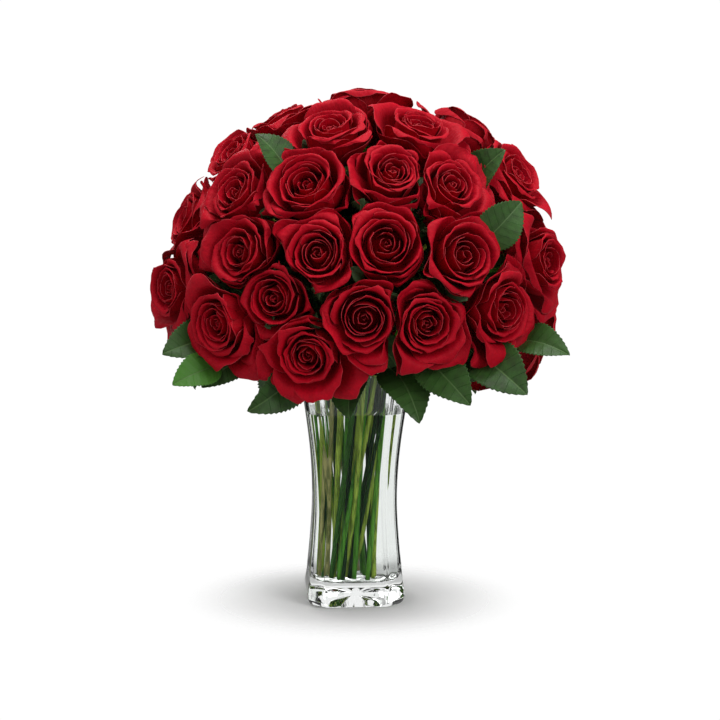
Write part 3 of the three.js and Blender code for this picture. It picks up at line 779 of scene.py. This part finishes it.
def stem_shape(shape, rose):
    """A rose's stem with its hip, sepals and thorns."""
    rng = rose.rng
    line = np.concatenate([rose.path[:-1], bezier(rose.bend, np.linspace(0, 1, 18))])
    steps = np.linspace(0, 1, len(line))
    radii = mix(STEM_RADIUS, NECK_RADIUS, np.clip((steps - 0.35) / 0.65, 0, 1))
    radii = radii * rose.stoutness * (1 + 0.05 * np.sin(steps * 31 + rng.uniform(0, 6)))
    tone = rose.number * GOLDEN_SHARE % 1
    add_tube(shape, line, radii, STEM_SIDES, skin=joined(steps, 0, tone))
    axis = rose.base - HIP_DROPS[:, None] * rose.facing
    add_tube(shape, axis, HIP_RADII * rose.scale, HIP_SIDES, skin=[1, 0, tone])

    # sepals, which stand out under the petals and droop at their tips
    for k in range(SEPALS):
        angle = math.radians(rng.normal(360 * k / SEPALS, 7))
        up = np.linspace(0, 1, 9)[:, None]
        across = np.linspace(-1, 1, 5)[None, :]
        length = SEPAL_LENGTH * rng.uniform(0.9, 1.15)
        curl = rng.uniform(-3, 6)
        radius = SEPAL_ROOT + (length - SEPAL_ROOT) * np.sin(up * 1.45)
        width = SEPAL_HALF * (1 - up) ** 0.75 * (1 + 0.5 * up) + 0.12
        height = -1.5 - SEPAL_DROOP * up + curl * up ** 3 - 0.8 * (1 - across ** 2) * (1 - up)
        grid = joined(
            radius * math.cos(angle) - across * width * math.sin(angle),
            radius * math.sin(angle) + across * width * math.cos(angle),
            height,
        )
        add_sheet(shape, rose.press(rose.place(grid)), SEPAL_THICKNESS, skin=[1, 0, tone])

    # thorns, which point back down the stem
    length = np.linalg.norm(np.diff(bezier(rose.bend, np.linspace(0, 1, 30)), axis=0), axis=1).sum()
    for share in np.arange(*THORN_SHARES, THORN_SPACING / length):
        share = share + rng.uniform(-0.03, 0.03)
        here, ahead = bezier(rose.bend, [share, share + 0.01])
        forward = unit(ahead - here)
        out = unit(np.cross(forward, rng.standard_normal(3)))
        size = rng.uniform(*THORN_SIZE)
        lift = np.array([0, 0.35, 0.7, 1])[:, None]
        thorn = here + out * (NECK_RADIUS * 0.8 + size * lift) - forward * THORN_HOOK * lift ** 2
        add_tube(shape, thorn, THORN_RADII, 6, skin=[1, 0.6, tone])


# Leaves

TEETH = 17
LEAF_HALF = 0.86  # of a blade's width, in its curve's measure
LEAF_WIDTHS = (0.86, 1.12)  # against a leaf of middle width
LEAF_THICKNESS = 0.5
SIDE_VEINS = 7
VEIN_SWEEP = (0.42, 0.9)  # of the side veins towards the tip: a factor and a power
STALK_RADII = [1.3, 1.05, 0.95, 0.9, 0.7]
# The places of a leaf's points to each side of its midrib
LEAF_SIDES = np.array([0.04, 0.16, 0.36, 0.58, 0.78, 0.93, 1])
FILL_SIDES = np.array([0.05, 0.35, 0.75, 1])


def leaf_shape(shape, root, tip, length, roll, number, rng,
               teeth=TEETH, half_sides=LEAF_SIDES, pale=0, fresh=0):
    """A toothed leaf on its stalk, arched along its midrib and folded a little. Its number tells its
    noise from the others'."""
    along = unit(tip - root)
    across = turned(unit(np.cross(along, UP)), along, roll)
    up = np.cross(across, along)
    t = np.linspace(0, 1, 3 * teeth + 1)[:, None]
    tooth = np.append(np.tile([0, 0.5, 1], teeth), 0)[:, None]
    half = LEAF_HALF * rng.uniform(*LEAF_WIDTHS) * t ** 0.55 * (1 - t) ** 0.85
    half = half * (1 - 0.07 * (1 - tooth)) + 0.006
    half[0] = 0.014
    half[-1] = 0.004
    sides = np.concatenate([-half_sides[::-1], half_sides])
    wide = sides * half
    # an edge tooth leans towards the tip
    lean = 0.5 / len(t) * np.abs(sides) ** 6 * tooth
    phase = 2 * math.pi * SIDE_VEINS * (t - VEIN_SWEEP[0] * np.abs(wide) ** VEIN_SWEEP[1])
    quilt = 0.004 * np.cos(phase) * smooth(0.02, 0.16, np.abs(wide)) * (1 - np.abs(sides) ** 4)
    wave = 0.02 * np.sin(8 * t + rng.uniform(0, 6) + 0.8 * np.sign(sides)) * np.abs(sides) ** 2
    sway = 0.07 * rng.uniform(-1, 1) * (t ** 2 - t)
    arch = LEAF_ARCH * rng.uniform(0.8, 1.6)
    rise = 4 * arch * t * (1 - t) + LEAF_FOLD * np.abs(wide) + quilt + wave
    rise = rise - 0.01 * np.exp(-(wide / 0.012) ** 2)
    grid = (
        tip
        + along * ((t + lean - 1) * length)[..., None]
        + across * ((wide + sway) * length)[..., None]
        + up * (rise * length)[..., None]
    )
    skin = joined(half, pale, rng.uniform(0, 1) + fresh)
    add_sheet(shape, grid, LEAF_THICKNESS, leaf=joined(wide, t, number), skin=skin)
    stalk = mix(root, tip - along * length + along * 2, np.linspace(0, 1, 5)[:, None])
    add_tube(shape, stalk, STALK_RADII, 8, leaf=[0, 0, number], skin=[0.3, 0, 0.5])


FILL_LEAF = (52, 66)
FILL_SHARE = 0.8
FILL_TEETH = 5
FILL_NUMBERS = 50  # after those of the larger leaves
FILL_LIFT = (-8, 4)  # of a leaf's tip above the feet of the blooms round it
CORE_SHARES = (0.35, 0.55)  # of the way to the bloom, for leaves round the stem
CORE_LEAF = 58


def facing_roll(root, tip, out=None):
    """The roll that turns a leaf's face out of the bunch, or to a direction."""
    along = unit(tip - root)
    outward = unit(tip - DOME_CENTRE * [1, 1, 0.75]) if out is None else out
    across = np.cross(along, unit(outward - along * outward.dot(along)))
    level = unit(np.cross(along, UP))
    return math.degrees(math.atan2(np.cross(level, across).dot(along), level.dot(across)))


def fill_leaf(shape, rose, share, tip, rng, out=None):
    """A dark leaf further in, with its face turned out of the bunch."""
    root = bezier(rose.bend, share)
    length = min(rng.uniform(*FILL_LEAF), 0.92 * np.linalg.norm(tip - root))
    roll = facing_roll(root, tip, out) + rng.uniform(-20, 20)
    number = FILL_NUMBERS + rose.number
    leaf_shape(shape, root, tip, length, roll, number, rng, FILL_TEETH, FILL_SIDES)


def fill_leaves(shape, rose):
    """Leaves behind the gaps where three blooms meet, and between two, and round the stem."""
    rng = seeded(500 + rose.number)
    near = [each for each in rose.near if each.number > rose.number]
    gaps = [(rose, each) for each in near]
    gaps += [(rose, a, b) for i, a in enumerate(near) for b in near[i + 1:] if b in a.near]
    for gap in gaps:
        middle = sum(each.base for each in gap) / len(gap)
        tip = middle + unit(sum(each.facing for each in gap)) * rng.uniform(*FILL_LIFT)
        fill_leaf(shape, rose, FILL_SHARE, tip, rng)
        if len(gap) == 3 and gap[-1].number <= FRONT_ROSES:
            fill_leaf(shape, rose, FILL_SHARE, tip, rng, FRONT)
    for share in CORE_SHARES:
        here, ahead = bezier(rose.bend, [share, share + 0.02])
        side = unit(np.cross(ahead - here, rng.standard_normal(3)))
        tip = here + unit(unit(ahead - here) + side * rng.uniform(0.5, 1)) * CORE_LEAF
        if here[2] > VASE_HEIGHT + 15:
            fill_leaf(shape, rose, share, tip, rng)


# Pale sepals that show in the gaps between three blooms
GAP_SEPALS = [
    (9, 11, 10), (10, 12, 11), (11, 13, 14), (13, 15, 14), (14, 16, 15), (12, 14, 23), (14, 24, 23),
    (12, 21, 23), (16, 24, 18), (10, 12, 21), (10, 20, 19), (20, 22, 21), (22, 23, 21), (3, 1, 11),
]
GAP_SEPAL_LENGTH = (18, 28)
GAP_SEPAL_DEPTH = (8, 15)
GAP_SEPAL_TEETH = 4
SEPALS_IN_GAP = 2
PALE_SEPAL = 1.35
SEPAL_NUMBER = 90


def gap_sepals(shape, *numbers):
    """Small pale blades that stand out of the gap between blooms."""
    rng = seeded(900 + numbers[0] * 7 + numbers[1])
    roses = [ROSES[number - 1] for number in numbers]
    facing = unit(sum(rose.facing for rose in roses))
    middle = sum(rose.face for rose in roses) / len(roses)
    level = unit(np.cross(UP, facing))
    for _ in range(SEPALS_IN_GAP):
        way = level * rng.uniform(-1, 1) + np.cross(facing, level) * rng.uniform(-1, 1)
        tip = middle - facing * rng.uniform(*GAP_SEPAL_DEPTH) + way * 5
        root = tip - facing * 20 - way * 14
        roll = facing_roll(root, tip, FRONT) + rng.uniform(-40, 40)
        length = rng.uniform(*GAP_SEPAL_LENGTH)
        leaf_shape(shape, root, tip, length, roll, SEPAL_NUMBER, rng,
                   GAP_SEPAL_TEETH, FILL_SIDES, PALE_SEPAL)


def own_leaf(shape, place, leaf):
    """A larger leaf, with its face turned as the list of them says."""
    number, share, turn, out, height, length, roll = leaf
    if place in LYING_LEAVES:
        root, tip = [np.array(end) for end in LYING_LEAVES[place]]
        length = 0.97 * np.linalg.norm(tip - root)
        roll = facing_roll(root, tip) + LYING_ROLL
    else:
        root = bezier(ROSES[number - 1].bend, share)
        angle = math.radians(turn)
        tip = np.array([out * math.sin(angle), -out * math.cos(angle), height])
    fresh = FRESH_LEAVES.get(place, 0)
    leaf_shape(shape, root, tip, length, roll, place, seeded(100 + place), fresh=fresh)


def gap_leaf(shape, number, share, middle):
    """A leaf whose middle closes a gap, as seen from the front."""
    root = bezier(ROSES[number - 1].bend, share)
    tip = middle + unit(middle - root) * GAP_LEAF / 2
    roll = facing_roll(root, tip, FRONT)
    leaf_shape(shape, root, tip, GAP_LEAF, roll, number, seeded(400 + number), FILL_TEETH)


def sunk_leaf(shape, number, root, tip):
    """A leaf that hangs into the vase."""
    rng = seeded(300 + number)
    root, tip = np.array(root), np.array(tip)
    roll = facing_roll(root, tip, FRONT) + rng.uniform(-20, 20)
    length = 0.9 * np.linalg.norm(tip - root)
    leaf_shape(shape, root, tip, length, roll, number, rng, pale=PALE_SUNK)


def row_leaves(row):
    """All leaves on the stems of a row's roses, and the sepals in the gaps beside its blooms."""
    numbers = [rose.number for rose in row]
    shape = Shape()
    for place, leaf in enumerate(LEAVES):
        if leaf[0] in numbers:
            own_leaf(shape, place, leaf)
    kinds = [(gap_sepals, GAP_SEPALS), (gap_leaf, GAP_LEAVES), (sunk_leaf, SUNK_LEAVES)]
    for add, entries in kinds:
        for entry in entries:
            if entry[0] in numbers:
                add(shape, *entry)
    for rose in row:
        fill_leaves(shape, rose)
    return shape


# Materials

def new_material(name, values):
    """A material, with values for its shader by the names of their sockets."""
    material = bpy.data.materials.new(name)
    material.use_nodes = True
    shader = material.node_tree.nodes["Principled BSDF"]
    for key, value in values.items():
        shader.inputs[key].default_value = value
    return material, Nodes(material.node_tree), shader


class Nodes:
    """Short ways to make and join the nodes of a material."""

    def __init__(self, tree):
        self.tree = tree

    def new(self, kind, **settings):
        node = self.tree.nodes.new(kind)
        for key, value in settings.items():
            setattr(node, key, value)
        return node

    def link(self, source, target):
        self.tree.links.new(source, target)

    def feed(self, sockets, values):
        """Links sockets to outputs, or sets them to numbers and colours."""
        for socket, value in zip(sockets, values):
            if isinstance(value, (int, float)):
                socket.default_value = value
            elif isinstance(value, tuple):
                socket.default_value = (*value, 1)
            else:
                self.link(value, socket)

    def position(self):
        return self.new("ShaderNodeTexCoord").outputs["Object"]

    def attribute(self, name):
        """A value at the mesh's points, and its X, Y and Z."""
        node = self.new("ShaderNodeAttribute", attribute_name=name)
        split = self.new("ShaderNodeSeparateXYZ")
        self.link(node.outputs["Vector"], split.inputs[0])
        return node.outputs["Vector"], split.outputs

    def math(self, operation, *values):
        node = self.new("ShaderNodeMath", operation=operation)
        self.feed(node.inputs, values)
        return node.outputs[0]

    def times(self, first, second):
        return self.math("MULTIPLY", first, second)

    def blend(self, share, first, second):
        node = self.new("ShaderNodeMix", data_type="RGBA")
        self.feed((node.inputs[0], node.inputs[6], node.inputs[7]), (share, first, second))
        return node.outputs[2]

    def layers(self, colour, *others):
        """A colour with others laid over it, each by its share."""
        for share, other in others:
            colour = self.blend(share, colour, other)
        return colour

    def noise(self, vector, factors, detail):
        """Noise over a vector that is multiplied by factors."""
        scaled = self.new("ShaderNodeVectorMath", operation="MULTIPLY")
        self.link(vector, scaled.inputs[0])
        scaled.inputs[1].default_value = factors
        node = self.new("ShaderNodeTexNoise")
        node.inputs["Scale"].default_value = 1
        node.inputs["Detail"].default_value = detail
        self.link(scaled.outputs[0], node.inputs["Vector"])
        return node.outputs["Fac"]

    def ramp(self, value, low, high, start=0.0, end=1.0):
        node = self.new("ShaderNodeMapRange", interpolation_type="SMOOTHSTEP")
        self.link(value, node.inputs["Value"])
        for key, number in (("From Min", low), ("From Max", high), ("To Min", start), ("To Max", end)):
            node.inputs[key].default_value = number
        return node.outputs["Result"]

    def bump(self, height, strength, distance):
        node = self.new("ShaderNodeBump")
        node.inputs["Strength"].default_value = strength
        node.inputs["Distance"].default_value = distance
        self.link(height, node.inputs["Height"])
        return node.outputs["Normal"]


def petal_material():
    material, n, shader = new_material("velvety_petals", {
        "Roughness": 0.6,
        "Specular IOR Level": 0.11,
        "Subsurface Weight": 0.08,
        "Subsurface Radius": (1.0, 0.12, 0.08),
        "Subsurface Scale": 0.002,
        "Sheen Weight": 0.05,
        "Sheen Roughness": 0.35,
        "Sheen Tint": (1.0, 0.12, 0.16, 1),
    })
    place, (_, up, _) = n.attribute("petal")
    _, (rim, outside, tone) = n.attribute("skin")
    streaks = n.noise(place, (1.1, 0.09, 3.7), 3)
    mottle = n.noise(place, (0.12, 0.12, 3.7), 2)
    folds = n.noise(place, (0.26, 0.08, 3.7), 2)
    grain = n.noise(place, (1.4, 1.4, 3.7), 3)
    colour = n.layers(
        (0.34, 0.0, 0.006),
        (n.ramp(mottle, 0.3, 0.7), (0.49, 0.0, 0.010)),
        (n.times(tone, 0.6), (0.24, 0.0, 0.005)),
        (n.ramp(streaks, 0.35, 0.75, 0, 0.35), (0.22, 0.0, 0.005)),
        (n.ramp(grain, 0.45, 0.75, 0, 0.4), (0.20, 0.0, 0.004)),
        (n.times(outside, 0.35), (0.60, 0.004, 0.022)),
        # painted shade: the petals darken towards their feet, deep in the bloom where shade falls
        (n.ramp(up, 20, 56, 0.55, 0), (0.27, 0.0, 0.005)),
        # painted highlight: a pale pink along the petals' rims, as if they catch the light
        (n.times(rim, 0.4), (0.75, 0.11, 0.13)),
    )
    n.link(colour, shader.inputs["Base Color"])
    relief = n.math("ADD", n.times(streaks, 0.3), folds)
    n.link(n.bump(relief, 0.6, 0.0022), shader.inputs["Normal"])
    return material


def leaf_material():
    material, n, shader = new_material("leaves", {
        "Specular IOR Level": 0.24,
        "Subsurface Weight": 0.05,
        "Subsurface Radius": (0.4, 1.0, 0.2),
        "Subsurface Scale": 0.001,
    })
    place, (wide, along, _) = n.attribute("leaf")
    _, (_, under, tone) = n.attribute("skin")
    away = n.math("ABSOLUTE", wide)
    bent = n.times(n.math("POWER", away, VEIN_SWEEP[1]), VEIN_SWEEP[0])
    phase = n.math("FRACT", n.times(n.math("SUBTRACT", along, bent), SIDE_VEINS))
    line = n.math("ABSOLUTE", n.math("SUBTRACT", phase, 0.5))
    side_vein = n.ramp(line, 0.5, 0.455)
    midrib = n.ramp(away, 0.016, 0.007)
    vein = n.math("MAXIMUM", n.times(side_vein, 0.4), midrib)
    mottle = n.noise(place, (9, 9, 1.7), 4)
    net = n.noise(place, (60, 60, 1.7), 2)
    colour = n.layers(
        (0.001, 0.009, 0.001),
        (n.ramp(mottle, 0.3, 0.7), (0.011, 0.064, 0.005)),
        (n.times(tone, 0.5), (0.024, 0.100, 0.005)),
        (n.ramp(tone, 1, 3), (0.06, 0.26, 0.012)),
        (n.times(vein, 0.75), (0.10, 0.18, 0.06)),
        (n.times(under, 0.7), (0.07, 0.125, 0.05)),
    )
    n.link(colour, shader.inputs["Base Color"])
    n.link(n.ramp(net, 0.2, 0.8, 0.38, 0.55), shader.inputs["Roughness"])
    relief = n.math("ADD", n.times(vein, -0.4), n.times(net, 0.25))
    n.link(n.bump(relief, 0.8, 0.0009), shader.inputs["Normal"])
    return material


def stem_material():
    material, n, shader = new_material("stems", {"Roughness": 0.42, "Specular IOR Level": 0.12})
    _, (_, thorn, tone) = n.attribute("skin")
    position = n.position()
    patches = n.noise(position, (90, 90, 18), 4)
    streaks = n.noise(position, (420, 420, 14), 3)
    colour = n.layers(
        (0.012, 0.060, 0.016),
        (n.ramp(tone, 0.2, 0.24), (0.15, 0.52, 0.05)),
        (n.ramp(tone, 0.5, 0.54), (0.62, 0.86, 0.12)),
        (n.ramp(tone, 0.9, 0.94), (0.70, 0.66, 0.26)),
        (n.ramp(patches, 0.55, 0.85, 0, 0.5), (0.06, 0.09, 0.02)),
        # painted shade: dark stripes along the stems stand in for each stem's shaded sides; the same
        # streaks give the relief of its ribs
        (n.ramp(streaks, 0.45, 0.62, 0, 0.6), (0.03, 0.11, 0.012)),
        (n.ramp(thorn, 0.3, 0.9, 0, 0.7), (0.22, 0.06, 0.03)),
    )
    n.link(colour, shader.inputs["Base Color"])
    n.link(n.bump(streaks, 0.3, 0.0004), shader.inputs["Normal"])
    return material


def clear_material(name, colour, ior, ripple, relief):
    """A clear surface, whose index is that of the solid against what lies on its other side."""
    material, n, shader = new_material(name, {
        "Base Color": (*colour, 1),
        "Transmission Weight": 1,
        "Roughness": 0,
        "IOR": ior,
    })
    wave = n.noise(n.position(), ripple, 1)
    n.link(n.bump(wave, relief, 0.002), shader.inputs["Normal"])
    return material


def floor_material():
    """A white disc that fades into the white round it."""
    material, n, shader = new_material("pale_floor", {"Roughness": 0.9, "Specular IOR Level": 0})
    position = n.position()
    grain = n.noise(position, (6, 6, 6), 3)
    n.link(n.blend(grain, (0.86, 0.86, 0.86), (0.88, 0.88, 0.88)), shader.inputs["Base Color"])
    distance = n.new("ShaderNodeVectorMath", operation="LENGTH")
    n.link(position, distance.inputs[0])
    n.link(n.ramp(distance.outputs["Value"], *FLOOR_FADE, 1, 0), shader.inputs["Alpha"])
    return material


PETALS = petal_material()
LEAF = leaf_material()
STEM = stem_material()
RIPPLE = (28, 28, 9)  # of the glass, in waves to the metre
WET_INDEX = GLASS_INDEX / WATER_INDEX
WATER_TINT = (0.985, 0.995, 0.985)
WATER_RIPPLE = (40, 40, 40)
GLASS = clear_material("moulded_glass", (0.975, 0.99, 0.985), GLASS_INDEX, RIPPLE, 0.2)
WET_GLASS = clear_material("wet_glass", (0.975, 0.99, 0.98), WET_INDEX, RIPPLE, 0.2)
WATER = clear_material("water", WATER_TINT, WATER_INDEX, WATER_RIPPLE, 0.04)
WATER_SIDE = clear_material("water_against_glass", WATER_TINT, 1.001, WATER_RIPPLE, 0)


def fit(piece, node):
    """The piece stands for a solid of the frame."""
    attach(piece, "root")
    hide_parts(node)


for rose in ROSES:
    fit(bloom(rose).build(f"bloom_{rose.number}", PETALS), f"rose_{rose.number}")

for r, row in enumerate(ROWS):
    stalks = Shape()
    for rose in row:
        stem_shape(stalks, rose)
    fit(stalks.build(f"stalks_{r + 1}", STEM), f"stems_{r + 1}")
    leaves = row_leaves(row)
    if leaves.count:
        fit(leaves.build(f"leaves_{r + 1}", LEAF), f"stems_{r + 1}")


# The vase

CORNER_POINTS = 5
FACE_POINTS = 6
RING_POINTS = 8 * (CORNER_POINTS + FACE_POINTS)
EDGE_FILLET = 2.6
INNER_FILLET = 3.5
# The underside is a shallow star pressed into the foot: shares of its half width, lifts and flutes
UNDERSIDE_HALF = 48
UNDERSIDE = [(0.1, 5.5, 0), (0.25, 5.2, 0.5), (0.4, 4.6, 1.3), (0.52, 4, 2.1), (0.62, 3.2, 2.6),
             (0.72, 2.3, 2.1), (0.8, 1.3, 1.1), (0.86, 0.3, 0), (0.9, 0, 0)]
FLUTES = 16
FOOT_HALF = 48.6
FOOT_EDGE = [(0, 4), (0.4, 1.8), (1.6, 0.5)]  # heights, and insets from the foot's half width
LIP_START = VASE_HEIGHT - 3
LIP_POINTS = 7
SIDE_HEIGHTS = np.concatenate([np.linspace(4, 30, 7), np.linspace(36, LIP_START, 34)])
DRY_HEIGHTS = np.linspace(LIP_START, WATER_LEVEL, 8)
WET_HEIGHTS = np.linspace(54, WATER_LEVEL, 25)
# The cavity's floor: heights, half widths and fillets, and those of the dish in its middle
FLOOR_EDGE = [(48, 42.5, 3.6), (42, 42.5, 3.8), (37, 42.3, 4), (33, 41.8, 4.5), (29.5, 40.7, 5),
              (27, 39.3, 5.5), (25.2, 37, 6), (24.3, 35, 6), (24, 33, 6)]
FLOOR_DISH = [(23.6, 24, 6), (23.4, 12, 3)]
WATER_FIT = 0.03  # between the water and the glass
MENISCUS = [(1, -0.1), (3, -0.2), (10, -0.2)]  # insets from the water's edge, and lifts


def vase_ring(half, height, fillet):
    """The cross-section of the vase: a square with cut corners, each of its edges rounded."""
    quarter = [(FACE_SHARE, -1), (1, -FACE_SHARE)]
    corners = []
    for turns in range(4):
        for x, y in quarter:
            corners.append(turned((x * half, y * half, 0), UP, 90 * turns + VASE_TURN))
    corners = np.array(corners)
    points = []
    for i, corner in enumerate(corners):
        before = corner + unit(corners[i - 1] - corner) * fillet
        after = corner + unit(corners[(i + 1) % 8] - corner) * fillet
        t = np.linspace(0, 1, CORNER_POINTS)[:, None]
        points.append((1 - t) ** 2 * before + 2 * t * (1 - t) * corner + t * t * after)
        following = corners[(i + 1) % 8] + unit(corner - corners[(i + 1) % 8]) * fillet
        points.append(mix(after, following, np.linspace(0, 1, FACE_POINTS + 2)[1:-1, None]))
    ring = np.concatenate(points)
    ring[:, 2] = height
    return ring


def side_rings(heights, inset, fillet):
    """Rings of the vase's side, moved in from its outside."""
    halves = curve_through(VASE_PROFILE, heights) - inset
    return [vase_ring(half, z, fillet) for half, z in zip(halves, heights)]


def clear_piece(name, material, second, rings, rows, end):
    """A solid through rings, with a second material between two rows and on its first end, which is
    -2, or its last, which is -1."""
    shape = Shape()
    add_loft(shape, rings)
    piece = shape.build(name, material)
    piece.data.materials.append(second)
    kinds = np.zeros(len(piece.data.polygons), dtype=np.int32)
    kinds[rows[0] * RING_POINTS:rows[1] * RING_POINTS] = 1
    kinds[end] = 1
    piece.data.polygons.foreach_set("material_index", kinds)
    return piece


def vase():
    rings = []
    for share, lift, flute in UNDERSIDE:
        ring = vase_ring(UNDERSIDE_HALF * share, 0, EDGE_FILLET * share)
        angle = np.arctan2(ring[:, 1], ring[:, 0])
        ring[:, 2] = lift + flute * np.cos(FLUTES * angle)
        rings.append(ring)
    rings += [vase_ring(FOOT_HALF - inset, z, EDGE_FILLET) for z, inset in FOOT_EDGE]
    rings += side_rings(SIDE_HEIGHTS, 0, EDGE_FILLET)
    rim = curve_through(VASE_PROFILE, np.array([VASE_HEIGHT]))[0]
    lip = WALL / 2
    for angle in np.linspace(0, math.pi, LIP_POINTS):
        half = rim - lip + lip * math.cos(angle)
        rings.append(vase_ring(half, VASE_HEIGHT - lip + lip * math.sin(angle), EDGE_FILLET))
    rings += side_rings(DRY_HEIGHTS, WALL, INNER_FILLET)
    waterline = len(rings) - 1
    rings += side_rings(WET_HEIGHTS[-2::-1], WALL, INNER_FILLET)
    rings += [vase_ring(half, z, fillet) for z, half, fillet in FLOOR_EDGE + FLOOR_DISH]
    return clear_piece("glass_vase", GLASS, WET_GLASS, rings, (waterline, len(rings) - 1), -1)


def water():
    floor = [(half - WATER_FIT, z + WATER_FIT, fillet) for z, half, fillet in FLOOR_EDGE[::-1]]
    rings = [vase_ring(*numbers) for numbers in floor]
    rings += side_rings(WET_HEIGHTS, WALL + WATER_FIT, INNER_FILLET)
    side_rows = len(rings) - 1
    half = curve_through(VASE_PROFILE, WET_HEIGHTS[-1:])[0] - WALL - WATER_FIT
    rings += [vase_ring(half - inset, WATER_LEVEL + lift, INNER_FILLET) for inset, lift in MENISCUS]
    return clear_piece("water_body", WATER, WATER_SIDE, rings, (0, side_rows), -2)


fit(vase(), "vase")
fit(water(), "water")


# Stage: a pale floor, soft studio light and the camera

def flat_piece(name, points, material):
    """A piece with one flat face."""
    mesh = bpy.data.meshes.new(name)
    mesh.from_pydata(points, [], [tuple(range(len(points)))])
    mesh.materials.append(material)
    return new_object(name, mesh)


def add_floor():
    radius = FLOOR_FADE[1]
    angles = np.linspace(0, 2 * math.pi, FLOOR_SIDES, endpoint=False)
    rim = [(radius * math.cos(a), radius * math.sin(a), 0) for a in angles]
    floor = flat_piece("floor", rim, floor_material())


def add_card(number, x, front):
    """A black card beside the vase, seen through the glass alone: it draws the glass's edges."""
    name = f"card_{number}"
    back, top = front + CARD_SIZE[0], CARD_SIZE[1]
    corners = [(x, front, CARD_FOOT), (x, back, CARD_FOOT), (x, back, top), (x, front, top)]
    looks = {"Base Color": (0.01, 0.01, 0.01, 1), "Specular IOR Level": 0}
    card = flat_piece(name, corners, new_material(name, looks)[0])
    for kind in ("camera", "diffuse", "glossy", "shadow"):
        setattr(card, f"visible_{kind}", False)


def add_light(name, place, size, power):
    light = bpy.data.lights.new(name, "AREA")
    light.shape = "DISK"
    light.size = size
    light.energy = power
    lamp = new_object(name, light)
    lamp.location = place
    aim = Vector(LIGHT_AIM) - lamp.location
    lamp.rotation_euler = aim.to_track_quat("-Z", "Y").to_euler()


def add_world():
    """White to look at and through the glass, and dimmer as a light."""
    world = bpy.data.worlds.new("studio")
    world.use_nodes = True
    bpy.context.scene.world = world
    n = Nodes(world.node_tree)
    path = n.new("ShaderNodeLightPath")
    split = n.new("ShaderNodeSeparateXYZ")
    n.link(n.new("ShaderNodeTexCoord").outputs["Generated"], split.inputs[0])
    behind = n.ramp(split.outputs["Y"], -0.3, 0.3, BEFORE_GLASS, THROUGH_GLASS)
    plain = n.ramp(path.outputs["Is Glossy Ray"], 0, 1, AMBIENT, MIRRORED)
    through = n.times(path.outputs["Is Transmission Ray"], behind)
    apart = n.times(n.math("SUBTRACT", 1, path.outputs["Is Transmission Ray"]), plain)
    seen = n.times(path.outputs["Is Camera Ray"], SEEN)
    background = world.node_tree.nodes["Background"]
    background.inputs["Color"].default_value = (1, 1, 1, 1)
    n.link(n.math("MAXIMUM", seen, n.math("ADD", through, apart)), background.inputs["Strength"])


def add_camera():
    camera = bpy.data.cameras.new("camera")
    camera.sensor_width = CAMERA_SENSOR
    camera.lens = CAMERA_LENS
    camera.clip_end = 100
    eye = new_object("camera", camera)
    pitch = math.radians(CAMERA_PITCH)
    target = np.array(CAMERA_TARGET, dtype=float)
    place = target - CAMERA_DISTANCE * np.array([0, math.cos(pitch), -math.sin(pitch)])
    eye.location = place * MM
    eye.rotation_euler = (math.pi / 2 - pitch, 0, 0)
    bpy.context.scene.camera = eye


add_floor()
for light in LIGHTS:
    add_light(*light)
for number, place in enumerate(CARD_PLACES):
    add_card(number + 1, *place)
add_world()
add_camera()
bpy.context.scene.view_settings.view_transform = "Standard"
